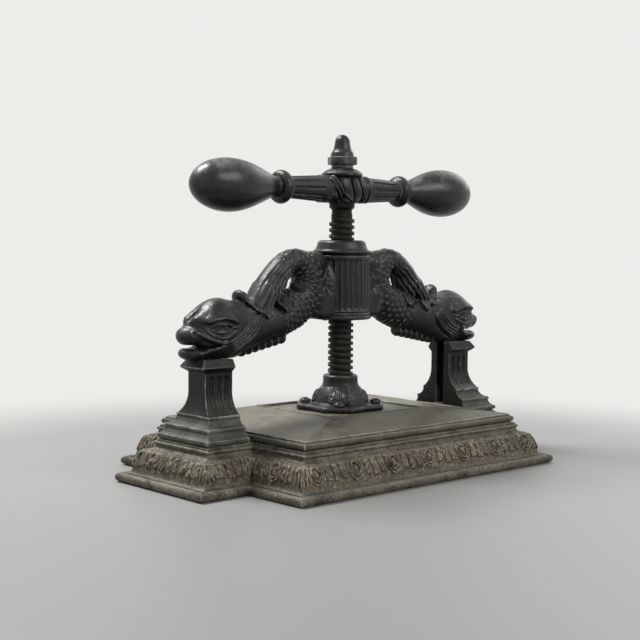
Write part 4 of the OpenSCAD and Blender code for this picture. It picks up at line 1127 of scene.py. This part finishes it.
def face_relief(x, z, y):
    """How far the skin of the head stands out, from its side view."""
    side = step(np.abs(y), 3.0, 11.0)
    gap, over, _ = from_line(x, z, BROW)
    brow = np.where(over < 0, bump(gap, 4.6), bump(gap, 1.7))
    out = 3.7 * brow * step(x, -22, -13) * (0.1 + 0.9 * side) * (1 - 0.75 * step(x, 15, 22))
    hollow = bump(np.hypot((x - EYE_SOCKET[0]) / 2.3, z - EYE_SOCKET[1]), 6.0)
    out = out - 3.6 * hollow * side
    ball = np.clip(1 - ((x - EYE[0]) / EYE_HALF[0]) ** 2 - ((z - EYE[1]) / EYE_HALF[1]) ** 2, 0, 1)
    out = out + 4.0 * np.sqrt(ball) * side
    out = out - 1.0 * bump(np.hypot(x - PUPIL[0], z - PUPIL[1]), 1.7) * side
    for line, lift, width in ((UPPER_LID, 2.7, 1.25), (LOWER_LID, 2.1, 1.2), (BAG, 1.9, 1.7)):
        gap, _, share = from_line(x, z, line)
        out = out + lift * bump(gap, width) * side * step(share, -0.02, 0.1) * step(-share, -1.02, -0.88)
    gap, over, _ = from_line(x, z, LIP_LINE)
    out = out + 2.5 * np.where(over > 0, bump(gap, 1.5), bump(gap, 2.6)) * side
    gap, _, _ = from_line(x, z, CHIN)
    out = out + 2.3 * bump(gap, 2.6)
    for t in GILL_SHARES:
        gap, _, share = from_line(x, z, GILL_TOP + (GILL_LOW - GILL_TOP) * t)
        out = out + 1.9 * bump(gap, 0.95) * step(share, 0.0, 0.2) * step(-share, -1.0, -0.8) * side
    gap, over, share = from_line(x, z, GILL_EDGE)
    ends = step(share, 0.0, 0.12) * step(-share, -1.0, -0.85) * side
    out = out + ends * np.where(over > 0, 1.5 * bump(gap, 5.0), -1.3 * bump(gap, 1.5))
    for at_x, at_z in STUDS:
        out = out + 1.8 * bump(np.hypot(x - at_x, z - at_z), 1.35) * side
    for from_x, from_z in WRINKLE_ROWS:
        for k in range(5):
            at_x, at_z = from_x - 3.1 * k, from_z + 0.3 * k
            wrinkle = [[at_x, at_z], [at_x - 1.7, at_z + 2.6]]
            out = out + 0.95 * bump(from_line(x, z, wrinkle)[0], 0.85) * side
    front = step(x, 10, 19) * step(z, 4, 9) * step(-z, -24, -15)
    out = out + 1.1 * bump(np.abs(y) - 8.0, 4.5) * front
    return out - 2.4 * bump(y, 2.4) * front


def plates(run, length=4.2):
    """Belly plates lying across the body."""
    return np.mod(run / length, 1.0) ** 1.5 - 0.4


def dolphin_body(x, y, z):
    """The bare body, the body and tail with scales, belly plates and folds, and the leaf of the tail fin."""
    bare, run, round_at = limb(x, y, z, BODY)
    tail, tail_run, tail_round = limb(x, y, z, TAIL)
    # Scales near the boss and over the loop, plates under the belly there
    belly = step(-np.abs(round_at), -11.0, -8.0)
    skin = scales(run, round_at) * (1 - belly) + plates(run) * belly
    body = bare - 1.9 * step(run, 56, 82) * skin
    tail = tail - 0.8 * step(-tail_run, -40, -24) * scales(tail_run, tail_round)
    # Folds along the tail, deepest on the side that faces the boss
    folds = np.abs(np.cos(tail_round * math.pi / FOLD_STEP)) - 0.6
    inner = step(np.abs(tail_round), 17.0, 24.0) * step(tail_run, 22, 36)
    tail = tail - 2.3 * inner * folds
    outer = step(np.abs(tail_round), 3.0, 9.0) * step(tail_run, 26, 40) * (1 - inner)
    tail = tail - 0.8 * outer * folds
    # Ribs that fan out over the tail fin, and a sunk line round it
    ridge, valley = 0.0, np.inf
    for line in RIBS:
        gap, _, share = from_line(x, z, line)
        rib = np.clip(1 - gap / (1.9 + 2.0 * share), 0, 1) ** 0.8 * step(share, 0.0, 0.25)
        ridge, valley = np.maximum(ridge, rib), np.minimum(valley, gap)
    to_fin = inside_outline(x, z, FIN)
    fin = smooth_max(bare - 1.6 - 2.0 * ridge, to_fin, 0.9)
    fanned = (ridge - 0.45) * step(-valley, -9.0, -4.0)
    tail = tail - 1.8 * fanned * step(tail_run, 26, 46) * step(np.abs(y), 6.0, 12.0)
    body = body + 1.2 * bump(to_fin - 1.2, 1.1)
    return bare, smooth_min(body, tail, 1.0), fin


def with_root(shape, x, y, z):
    """Adds the scaly root on the boss with its heel, and the saddle under the boss cap."""
    ay = np.abs(y)
    heel = np.sqrt(np.maximum(ay - 9.5, 0) ** 2 + np.maximum(np.abs(z - 168.0) - 7.6, 0) ** 2
                   + np.maximum(x - 38.0, 0) ** 2) - 7.0
    folds = 0.9 * np.cos((z - 165.0) * 2 * math.pi / 3.1) * bump(z - 165.0, 4.2) * step(-x, -41, -36)
    off_boss = step(np.hypot(x, y), 30.0, 34.0)
    root = oval(x, y, z, *ROOT)
    root = root - 1.1 * scales(z, np.arctan2(ay, x - 10.0) * 24.0) * step(z, 164.0, 172.0) * off_boss
    shape = smooth_min(smooth_min(shape, heel, 7.0), root - folds, 3.0)
    return smooth_min(shape, oval(x, y, z, *SADDLE), 4.0)


def loop_hole(x, y, z):
    """The hole through the loop of the tail, wider on both sides than in the middle."""
    ay = np.abs(y)
    wide, tall = np.hypot(2.0, 1.04 * ay), 5.2 + 4.5 * (ay / 13.0) ** 2
    return (np.sqrt(((x - LOOP_HOLE[0]) / wide) ** 2 + ((z - LOOP_HOLE[1]) / tall) ** 2) - 1.0) * 5.0


def with_head(shape, x, y, z):
    """Adds the head, its upper front eased back, with its lumps, face, mouth and nostrils."""
    hx, hz = x - HEAD[0], z - HEAD[1]
    head = smooth_max(oval(x, y, z, *SKULL), hx * 0.66 + hz * 0.75 - 25.4, 13.0)
    shape = smooth_min(shape, head, 6.0)
    for (out, up), size, soft in HEAD_LUMPS:
        shape = smooth_min(shape, oval(x, y, z, (HEAD[0] + out, 0, HEAD[1] + up), size), soft)
    near = step(x, HEAD[0] - 48, HEAD[0] - 40)
    shape = shape - near * face_relief(hx, hz, y)
    gap, _, share = from_line(hx, hz, MOUTH)
    slit = gap - 0.5 - 1.3 * step(-share, -1.0, -0.55)
    shape = smooth_max(shape, -np.maximum(slit, -(shape + 6.0)), 0.6)
    nostril = np.sqrt((hx - NOSTRIL[0]) ** 2 + (np.abs(y) - NOSTRIL[1]) ** 2 + (hz - NOSTRIL[2]) ** 2)
    return shape - 0.9 * bump(nostril - 2.6, 0.9) + 1.4 * bump(nostril, 1.5)


def with_fin(shape, bare, fin, x, y, z):
    """Lays the tail fin on the body, with its crest, a pit between its halves and a rolled margin."""
    shape = smooth_min(shape, fin, 0.6)
    lean = x - 134.6 - 0.25 * (z - 177.0)
    crest = oval(lean, y, z, *CREST)
    crest = crest - 0.4 * np.cos(np.arctan2(y, z - 166.0) * 17.0) * step(-lean, -2.0, 2.0)
    crest = smooth_max(crest, -oval(x, y, z, *CREST_HOLLOW), 2.0)
    shape = smooth_min(shape, crest, 1.6)
    gap, _, share = from_line(x, z, FIN_PIT)
    pit = np.maximum(gap - 2.1 * step(share, -0.1, 0.2), -bare - 3.0)
    shape = smooth_max(shape, -np.maximum(pit, 8.0 - np.abs(y)), 0.8)
    gap, _, _ = from_line(x, z, FIN_MARGIN)
    return smooth_min(shape, np.hypot(gap, bare - 2.4) - 1.9, 0.8)


def with_fringe(shape, x, y, z):
    """Adds the toothed fin under the belly: a strip of stems with a bead on each."""
    start, end = np.array([COLUMN_MID - 36.5, CAPITAL_Z + 3.4]), np.array([SEAT_X + 53.0, LOOP_Z - 55.2])
    stems, beads = [], []
    for i in range(TEETH):
        tooth_x, tooth_z = start + (end - start) * i / (TEETH - 1)
        stems.append(np.hypot(x - tooth_x, z - np.clip(z, tooth_z + 2, tooth_z + 13)) - 4.3)
        beads.append(oval(x, y, z, (tooth_x, 0, tooth_z + 2.6), (3.5, 8.0, 6.4)))
    strip = stems[0]
    for stem in stems[1:]:
        strip = smooth_min(strip, stem, 0.8)
    shape = smooth_min(shape, smooth_max(strip, np.abs(y) - 4.6, 1.0), 1.0)
    return smooth_min(shape, np.minimum.reduce(beads), 0.5)


def dolphin_field(x, y, z):
    """The right dolphin, cut flat where it stands on the capital and inside the boss."""
    bare, shape, fin = dolphin_body(x, y, z)
    shape = with_root(shape, x, y, z)
    shape = smooth_max(shape, -loop_hole(x, y, z), 1.5)
    shape = with_head(shape, x, y, z)
    shape = with_fin(shape, bare, fin, x, y, z)
    shape = with_fringe(shape, x, y, z)
    return smooth_max(np.maximum(shape, SEAT_X - 8 - x), CAPITAL_Z - z, 0.3)


dolphin = carved(dolphin_field, (20.5, 0, 117.5), (213.0, 28.0, 228.0), 0.8)
pair("dolphin", dolphin, BLACK_IRON, "frame", sharp=80.0)


# Boss and screw nut

def boss_wave(r, a, h):
    """Eleven flutes on the front and on the back of the boss."""
    turn = np.degrees(a)
    depth = np.zeros_like(r)
    for middle in (90, 270):
        for k in range(-5, 6):
            off = (turn - middle - BOSS_FLUTE_STEP * k + 180) % 360 - 180
            beyond = np.maximum(np.maximum(BOSS_FLUTE_LOW - h, h - BOSS_FLUTE_HIGH), 0)
            gap = np.hypot(np.radians(off) * BOSS_R, beyond)
            depth = np.maximum(depth, 1.25 * np.sqrt(np.clip(1 - (gap / BOSS_FLUTE_HALF) ** 2, 0, 1)))
    return r - depth * (r > BOSS_R - 1.0)


boss_line = refined(softened(
    [[BOSS_BORE, BOSS_Z], [BOSS_R - 1.6, BOSS_Z], [BOSS_R - 1.6, BOSS_Z + 1.2], [BOSS_R, BOSS_Z + 1.2],
     [BOSS_R, CAP_Z - 3.6], [BOSS_R + 0.5, CAP_Z - 3.2], [BOSS_R + 0.5, CAP_Z - 0.6], [BOSS_R - 0.6, CAP_Z],
     [BOSS_BORE, CAP_Z]], 0.4, 3), 1.2)
boss = turned(boss_line, 288, wave=boss_wave, loop=True)
piece("boss_casting", boss, BLACK_IRON, "frame", ["boss"])

cap_line = softened(
    [[CAP_BORE, CAP_Z], [BOSS_R - 2.6, CAP_Z], [BOSS_R - 2.4, CAP_Z + 1.2]]
    + arc((BOSS_R - 1.6, CAP_Z + 3.6), 2.2, 2.2, -80, 80, 7)
    + [[BOSS_R - 1.8, CAP_Z + 6.0], [BOSS_R - 2.4, CAP_Z + 7.4], [BOSS_R - 3.2, CAP_Z + 9.4],
       [BOSS_R - 3.7, CAP_Z + 11.4], [BOSS_R - 4.4, CAP_Z + 13.4], [BOSS_R - 6.0, CAP_TOP - 0.3],
       [BOSS_R - 8.5, CAP_TOP + 0.5], [15.4, CAP_TOP + 0.5], [CAP_BORE, CAP_TOP - 0.4]], 0.6, 3)
piece("boss_cap_casting", turned(cap_line, 128, loop=True), BLACK_IRON, "frame", ["boss_cap"])

nut_line = softened(
    [[NUT_BORE, FLANGE_Z + 0.8], [14.4, FLANGE_Z], [FLANGE_R - 2.2, FLANGE_Z]]
    + arc((FLANGE_R - 2, FLANGE_Z + 2.3), 2, 2.3, -80, 80, 6)
    + [[FLANGE_R - 2.2, FLANGE_Z + 4.8], [FLANGE_R - 1.4, FLANGE_Z + 5.2], [FLANGE_R - 1.4, FLANGE_Z + 6.8],
       [FLANGE_R - 2.4, BOSS_Z], [NUT_BORE, BOSS_Z]], 0.35, 3)
piece("screw_nut_flange", turned(nut_line, 128, loop=True), BLACK_IRON, "frame", ["screw_nut"])


# Screw

def build_screw():
    """Core with its foot, collar and stud, and the thread wound round it."""
    foot = [[0, SCREW_FOOT_Z], [SCREW_FOOT_R - 1, SCREW_FOOT_Z], [SCREW_FOOT_R, SCREW_FOOT_Z + 1],
            [SCREW_FOOT_R, SCREW_FOOT_TOP]]
    shank = [[CORE_R, SCREW_FOOT_TOP], [CORE_R, THREAD_TOP - 0.5], [CORE_R - 0.5, THREAD_TOP + 1.5],
             [CORE_R - 0.5, COLLAR_Z - 1.5]]
    collar = [[12.4, COLLAR_Z], [SCREW_R, COLLAR_Z + 1.2], [SCREW_R, HUB_Z - 0.6], [12.4, HUB_Z]]
    stud = [[STUD_R, HUB_Z], [STUD_R, STUD_TOP], [0, STUD_TOP]]
    core = turned(refined(softened(foot + shank + collar + stud, 0.4, 3), 4.0), 72)
    turns = (THREAD_TOP - THREAD_LOW - 1.0) / PITCH
    thread = grown(make_thread_tree(), {
        "Pitch": PITCH * MM, "Turns": turns, "Radius": (CORE_R + SCREW_R) / 2 * MM - 0.3 * MM,
        "Width": THREAD_W * MM, "Height": (SCREW_R - CORE_R + 0.6) * MM, "Low": (THREAD_LOW - PITCH / 2) * MM,
        "Finish": SCREW_STEEL})
    return joined(core, thread)


piece("press_screw", build_screw(), SCREW_STEEL, "screw", ["screw"], sharp=50.0)


# Socket under the screw

def socket_field(x, y, z):
    """Eight-sided plate, leafed bell and neck, bored for the screw."""
    ax, ay = np.abs(x), np.abs(y)
    # Plate: straight sides a little hollow, corners cut, edge rounded
    flat_side = np.maximum(ax, ay) - PLATE_HALF + 1.6 * bump(np.minimum(ax, ay), 9.0)
    cut_side = (ax + ay - PLATE_CUT) / math.sqrt(2)
    plan = smooth_max(flat_side, cut_side, 2.5) + PLATE_EDGE
    from_middle = np.abs(z - PANEL_Z - 2.9)
    plate = smooth_max(plan, np.abs(z - (PANEL_Z + 2.7)) - 0.3, 0.1)
    edge = np.hypot(np.maximum(plan, 0), np.maximum(from_middle - 0.2, 0)) - 2.9
    plate = np.minimum(plate, np.where(plan < 0, from_middle - 3.1, edge))
    r = np.sqrt(x * x + y * y)
    # Bell
    low = np.clip((BELL_TOP - z) / 13.8, 0, 1.4)
    swell = 18.6 + 8.4 * low + 4.6 * low * (1 - low)
    bell = np.maximum((r - swell) / 1.18, np.maximum(z - BELL_TOP - 1.5, PANEL_Z + 1 - z))
    # Eight faces between ridges, hollow on the sides and with a palmette on the corners
    turn = np.arctan2(y, x) / (math.pi / 4)
    face = np.round(turn)
    gap = (turn - face) * math.pi / 4 * r
    half = math.pi / 8 * r
    relief = 1.3 * bump(half - np.abs(gap), 1.1) - 1.2 * np.clip(1 - (gap / (0.85 * half)) ** 2, 0, 1)
    h = z - PLATE_TOP - 0.5
    corner = 2 * np.round((turn - 1) / 2) + 1
    aside = (turn - corner) * math.pi / 4 * r
    fan = np.zeros(np.broadcast(aside, h).shape)
    for lobe in range(-2, 3):
        lean = math.radians(31.0 * lobe)
        along = aside * math.sin(lean) + h * math.cos(lean)
        across = aside * math.cos(lean) - h * math.sin(lean)
        reach = 15.0 - 0.8 * abs(lobe)
        width = 0.9 + 0.2 * np.clip(along, 0, 9)
        leaf = np.sqrt(np.clip(1 - (across / width) ** 2, 0, 1)) - 0.5 * bump(across, 0.55)
        fan = np.maximum(fan, 2.7 * leaf * step(along, 0.5, 3.0) * step(-along, -reach, 3.0 - reach))
    on_bell = step(-z, -BELL_TOP - 1, -BELL_TOP + 2.5) * step(z, PLATE_TOP - 1.0, PLATE_TOP + 1.5)
    bell = bell - on_bell * np.maximum(relief, fan)
    # Neck with a rounded lip
    neck = np.hypot(np.maximum(r - NECK_R, 0), np.maximum(z - (SOCKET_TOP - 2.6), 0)) - 2.6
    neck = np.maximum(neck, BELL_TOP - 4 - z)
    shape = smooth_min(smooth_min(bell, neck, 1.6), plate, 2.2)
    # Raised fillet round the bell foot and spot faces for the bolts
    ring = np.hypot(r - BELL_RING_R, z - PLATE_TOP + 0.2) - 1.2
    shape = smooth_min(shape, ring, 1.2)
    seat = np.maximum(np.hypot(ax - BOLT_AT, ay - BOLT_AT) - SPOT_R, BOLT_SEAT - z)
    shape = smooth_max(shape, -seat, 0.6)
    bore = np.maximum(r - SCREW_R - 0.2, PANEL_Z + 8 - z)
    return np.maximum(smooth_max(shape, -bore, 0.3), PANEL_Z - z)


socket = carved(socket_field, (-45.0, 0, PANEL_Z - 2.5), (45.5, 45.0, SOCKET_TOP + 2.0), 0.75)
piece("screw_socket_casting", socket, BLACK_IRON, "platen", ["screw_socket"], sharp=70.0)

bolt_line = softened(
    [[0, BOLT_FOOT], [BOLT_R, BOLT_FOOT], [BOLT_R, BOLT_SEAT], [5.6, BOLT_SEAT]]
    + arc((0, BOLT_SEAT + 0.9), 5.9, 3.9, 4, 86, 8) + [[0, BOLT_SEAT + 4.8]], 0.3, 2)
bolt_corners = ((1, 1), (-1, 1), (-1, -1), (1, -1))
bolt_places = [((x * BOLT_AT, y * BOLT_AT, 0), 90 * i, 0) for i, (x, y) in enumerate(bolt_corners)]
bolts = copies(bolt_places, [turned(bolt_line, 40)], BLACK_IRON)
piece("socket_bolt_heads", bolts, BLACK_IRON, "platen", ["socket_bolts"])


# Handle

def reeds(angle):
    """1 in the grooves between the reeds of an arm, 0 on the reeds."""
    return np.clip(np.cos(angle * REED_COUNT), 0, 1) ** 0.7


def hub_field(x, y, z):
    """Hub: a barrel along the bar crossed by the post on the screw, wound with a leaf. Its back is its front
    turned half round."""
    h = z - BAR_Z
    r = np.sqrt(y * y + h * h)
    ax = np.abs(x)
    barrel = np.hypot(np.maximum(r - HUB_R + 2.0, 0), np.maximum(ax - HUB_HALF + 2.0, 0)) - 2.0
    barrel = np.maximum(barrel, np.where(ax < HUB_HALF - 2, r - HUB_R, barrel))
    q = np.sqrt(x * x + y * y)
    wide = POST_R + 4.6 * step(z, HUB_CAP_Z - 5.0, HUB_CAP_Z - 0.8)
    post = np.maximum(q - wide, np.maximum(z - HUB_CAP_Z, HUB_Z - z))
    # On the front the reeds of one arm run up to the leaf, on the back those of the other
    along = np.where(y < 0, x, -x)
    round_at = np.arctan2(np.abs(y), h)
    turn = round_at * HUB_R
    shown = step(np.abs(y), 1.0, 5.0)
    reeded = step(-along, 20.0, 23.0) * shown
    barrel = barrel + reeded * (0.9 + 1.4 * reeds(round_at))
    shape = smooth_min(barrel, post, 2.5)
    # Edge of the leaf, its slanting folds, and the lobe at its end
    on = shown * step(turn, 4.0, 9.0)
    lean = along + 0.5 * h
    for off, lift, width in ((-20.6, 2.1, 1.5), (-14.6, 1.7, 1.6)):
        bow = lean - off - 0.05 * (h - 4) ** 2 * 0.5
        shape = shape - lift * bump(bow / 1.06, width) * on
        shape = shape + 1.1 * bump((bow + 2.4) / 1.06, 1.1) * on
    middle = along + 0.16 * h + 0.8 * np.sin(h * 0.25)
    for off, half, lift in ((-5.2, 5.8, 2.3), (8.0, 5.8, 2.5), (18.6, 3.8, 2.0)):
        lobe = np.sqrt(np.clip(1 - ((middle - off) / half) ** 2, 0, 1))
        shape = shape - lift * lobe * on + 1.0 * bump(np.abs(middle - off) - half - 0.4, 0.8) * on
    ring = bump(along - HUB_HALF + 3.6, 2.0) * step(turn, 3.0, 9.0) * shown
    ring = ring + bump(along + HUB_HALF - 3.6, 2.2) * step(-h, 8.0, 12.0)
    shape = shape - 1.7 * ring
    return np.maximum(shape, np.maximum(z - HUB_CAP_Z, HUB_Z - z - 0.7))


def arm_wave(r, a, h):
    """Reeds along an arm, plain near its ends."""
    along = step(h, HUB_HALF + 2.5, HUB_HALF + 6) * step(-h, -BEAD_LOW + 2.5, -BEAD_LOW + 6)
    return r + 0.3 - 1.5 * reeds(a) * along


def build_arm():
    """Right arm of the handle with its bead."""
    neck = ARM_R - 0.95
    line = [[0, HUB_HALF - 8], [ARM_R + 1.7, HUB_HALF - 8], [ARM_R + 1.6, HUB_HALF],
            [ARM_R + 1.4, HUB_HALF + 2.5], [neck, BEAD_LOW - 2.4], [neck + 1.7, BEAD_LOW - 1.4],
            [neck + 1.7, BEAD_LOW + 0.2]]
    line += arc((KNOB_NECK_R, BEAD_AT), BEAD_R - KNOB_NECK_R, BEAD_W / 2, -72, 78, 14)
    line += [[KNOB_NECK_R + 0.4, BEAD_AT + BEAD_W / 2], [0, BEAD_AT + BEAD_W / 2]]
    line = refined(softened(line, 0.45, 3), 1.6)
    return moved(turned(line, 120, along_x=True, wave=arm_wave), (0, 0, BAR_Z))


hub = carved(hub_field, (-35.0, 0, 268.0), (35.5, 22.5, 305.0), 0.62, even=False)
arm = build_arm()
handle = joined(hub, arm, mirrored(arm))
piece("handle_casting", handle, BLACK_IRON, "screw", ["handle"], sharp=60.0)


def knob_line():
    """Pear shape as [radius, out]: a swelling curve from the neck, then a quarter of an oval to the tip."""
    line = [[0, KNOB_X], [KNOB_NECK_R + 0.3, KNOB_X]]
    for i in range(1, 27):
        x = KNOB_X + (KNOB_FAT_X - KNOB_X) * i / 26
        t = min((KNOB_FAT_X - x) / (KNOB_FAT_X - KNOB_X - 4), 1)
        swell = max(0.5 + 0.5 * math.cos(math.pi * t), 0) ** 0.56
        line.append([KNOB_NECK_R + (KNOB_R - KNOB_NECK_R) * swell, x])
    for a in np.radians(np.linspace(0, 90, 19)[1:]):
        line.append([max(KNOB_R * math.cos(a), 0.0), KNOB_FAT_X + (KNOB_TIP - KNOB_FAT_X) * math.sin(a)])
    line[-1][0] = 0.0
    return line


knob = moved(turned(knob_line(), 112, along_x=True), (0, 0, BAR_Z))
pair("knob", (wavering(knob[0], 0.18, 45.0, 5), knob[1]), KNOB_IRON, "screw")

hub_cap_line = softened(
    [[HUB_CAP_BORE, HUB_CAP_Z - 0.6], [20.6, HUB_CAP_Z - 0.6], [21.3, HUB_CAP_Z], [20.7, HUB_CAP_Z + 1.1],
     [16.4, HUB_CAP_Z + 4.0], [12.6, HUB_CAP_Z + 5.6], [10.9, FINIAL_Z], [HUB_CAP_BORE, FINIAL_Z]], 0.5, 3)
piece("hub_cap_casting", turned(hub_cap_line, 96, loop=True), BLACK_IRON, "screw", ["hub_cap"])


def hexagon(size, z):
    """Ring of a hexagon with its corners cut off a little."""
    angles = np.radians(60 * np.arange(6))
    corners = np.stack([size * np.cos(angles), size * np.sin(angles), np.full(6, z)], -1)
    shares = np.array([0.03, 0.08, 0.35, 0.65, 0.92, 0.97])[:, None]
    return np.concatenate([a + (b - a) * shares for a, b in zip(corners, np.roll(corners, -1, 0))])


def build_finial():
    """Round foot, hexagon nut and domed top."""
    low, hex_low, hex_high = FINIAL_Z, FINIAL_Z + 3.4, FINIAL_Z + 11.7
    line = [[0, low], [11.0, low], [11.4, low + 0.4], [11.4, hex_low + 0.4], [0, hex_low + 0.4]]
    foot = turned(softened(line, 0.3, 2), 64)
    nut = lofted([hexagon(size, z) for z, size in (
        (hex_low, 15.0), (hex_low + 0.4, 15.7), (hex_low + 0.9, 16.0),
        (hex_high - 0.9, 16.0), (hex_high - 0.4, 15.7), (hex_high, 15.0))])
    line = [[0, hex_high - 0.5], [12.6, hex_high - 0.5], [12.3, hex_high + 0.6], [11.9, hex_high + 2.6],
            [11.4, hex_high + 4.4], [10.1, hex_high + 6.2], [9.2, hex_high + 8.0], [8.4, hex_high + 11.5]]
    line += arc((0, FINIAL_TOP - 8.3), 7.9, 8.3, 0, 90, 10)
    line[-1][0] = 0.0
    return joined(foot, nut, turned(softened(line, 0.5, 3), 72))


piece("finial_nut_casting", build_finial(), BLACK_IRON, "screw", ["finial_nut"], sharp=45.0)


# CAD nodes that stay: fastenings under the base and behind the boss

for name in ("nut_lock_screw", "left_tie_bolt", "right_tie_bolt", "tie_washers", "tie_nuts"):
    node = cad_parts[name]
    node.data.materials.clear()
    node.data.materials.append(SCREW_STEEL)


# Floor, light and camera, in metres

BACKGROUND = (0.84, 0.84, 0.82, 1)
# Direction of the camera along the floor. The floor fades round a point FADE_FRONT before the press.
LOOK = Vector((0.6749, 0.7379, 0))
FLOOR_HALF, FADE_FRONT, FADE_NEAR, FADE_FAR = 6.0, 0.16, 0.44, 0.8
WALL_AWAY, WALL_HALF, WALL_TALL = 2.8, 3.0, 3.0
FILL_LEVEL = 0.14

# Where each lamp stands, what it points at, its size and its power in watts
LAMPS = {
    "key": ((-0.38, 0.74, 1.52), (0, 0, 0.15), (0.5, 0.5), 34.5),
    "left": ((-1.5, -0.8, 1.3), (0, 0, 0.15), (0.8, 0.8), 0.9),
    "front": ((0.3, -1.9, 1.4), (0, 0, 0.12), (1.6, 1.0), 23.5),
    "right": ((1.6, 0.3, 1.0), (0, 0, 0.2), (1.0, 1.0), 5.0),
}

# Camera fitted to the corners of the base and the platen in the photograph
CAMERA_AT, CAMERA_TURN, CAMERA_PITCH, CAMERA_ROLL = (-0.9018, -0.9536, 0.2387), -42.45, 3.68, 0.48
PICTURE_PX, FOCAL_PX, SHIFT_PX, SENSOR = 640, 1261.8, -3.5, 36.0


def plain(name, colour, rough):
    material = bpy.data.materials.new(name)
    material.use_nodes = True
    shader = material.node_tree.nodes["Principled BSDF"]
    shader.inputs["Base Color"].default_value = (*colour, 1)
    shader.inputs["Roughness"].default_value = rough
    return material


def stage_face(name, corners, material):
    """One flat face that is only a backdrop."""
    mesh = bpy.data.meshes.new(name)
    mesh.from_pydata([tuple(c) for c in corners], [], [(0, 1, 2, 3)])
    mesh.materials.append(material)
    add_object(name, mesh)


def build_stage():
    """Pale floor that fades into the white of the background round the press, and a white wall far back."""
    grey, white = plain("pale floor", (0.305, 0.307, 0.299), 0.5), plain("pale wall", (0.8, 0.8, 0.78), 0.9)
    tree = grey.node_tree
    away = add_node(tree, "ShaderNodeVectorMath", operation="DISTANCE")
    feed(tree, away.inputs[0], add_node(tree, "ShaderNodeTexCoord").outputs["Object"])
    feed(tree, away.inputs[1], LOOK * -FADE_FRONT)
    whitened(grey, ramp(tree, away.outputs["Value"], FADE_NEAR, FADE_FAR))
    whitened(white, 1.0)
    h = FLOOR_HALF
    stage_face("floor", [(-h, -h, 0), (h, -h, 0), (h, h, 0), (-h, h, 0)], grey)
    across = Vector((LOOK.y, -LOOK.x, 0)) * WALL_HALF
    low = LOOK * WALL_AWAY
    high = low + Vector((0, 0, WALL_TALL))
    stage_face("wall", [low - across, low + across, high + across, high - across], white)


def seen_rays(tree):
    """1 on the rays that show the background: those of the camera and of reflections."""
    rays = add_node(tree, "ShaderNodeLightPath")
    return maths(tree, "MAXIMUM", rays.outputs["Is Camera Ray"], rays.outputs["Is Glossy Ray"])


def whitened(material, share):
    """Shows the white of the background to the camera and to reflections, where the share says so."""
    tree = material.node_tree
    glow = add_node(tree, "ShaderNodeEmission")
    glow.inputs["Color"].default_value = BACKGROUND
    mix = add_node(tree, "ShaderNodeMixShader")
    feed(tree, mix.inputs["Fac"], times(tree, seen_rays(tree), share))
    tree.links.new(tree.nodes["Principled BSDF"].outputs[0], mix.inputs[1])
    tree.links.new(glow.outputs[0], mix.inputs[2])
    tree.links.new(mix.outputs[0], tree.nodes["Material Output"].inputs["Surface"])


def area_light(name, at, aim, size, power):
    """Lamp of a set size that faces what it aims at."""
    data = bpy.data.lights.new(name, "AREA")
    data.shape = "RECTANGLE"
    data.size, data.size_y = size
    data.energy = power
    made = add_object(name, data)
    made.location = at
    made.rotation_euler = (Vector(aim) - Vector(at)).to_track_quat("-Z", "Y").to_euler()


def build_camera():
    """Camera of the photograph."""
    turn, pitch, roll = (math.radians(a) for a in (CAMERA_TURN, CAMERA_PITCH, CAMERA_ROLL))
    ahead = Vector((-math.sin(turn) * math.cos(pitch), math.cos(turn) * math.cos(pitch), -math.sin(pitch)))
    right = Vector((math.cos(turn), math.sin(turn), 0))
    up = right.cross(ahead)
    data = bpy.data.cameras.new("camera")
    data.sensor_width = SENSOR
    data.lens = FOCAL_PX / PICTURE_PX * SENSOR
    data.shift_y = SHIFT_PX / PICTURE_PX
    data.clip_end = 50.0
    axes = Matrix((right, up, -ahead)).transposed() @ Matrix.Rotation(roll, 3, "Z")
    scene.camera = add_object("camera", data)
    scene.camera.matrix_world = Matrix.Translation(CAMERA_AT) @ axes.to_4x4()


def build_world():
    """Shows the background where it is seen, and gives a weak even light elsewhere."""
    world = bpy.data.worlds.new("studio")
    scene.world = world
    world.use_nodes = True
    tree = world.node_tree
    level = add_node(tree, "ShaderNodeMapRange")
    feed(tree, level.inputs["Value"], seen_rays(tree))
    feed(tree, level.inputs["To Min"], FILL_LEVEL)
    feed(tree, level.inputs["To Max"], 1.0)
    feed(tree, tree.nodes["Background"].inputs["Color"], BACKGROUND)
    feed(tree, tree.nodes["Background"].inputs["Strength"], level.outputs["Result"])


build_stage()
build_camera()
for lamp, setting in LAMPS.items():
    area_light(lamp, *setting)
build_world()
scene.view_settings.view_transform = "Standard"
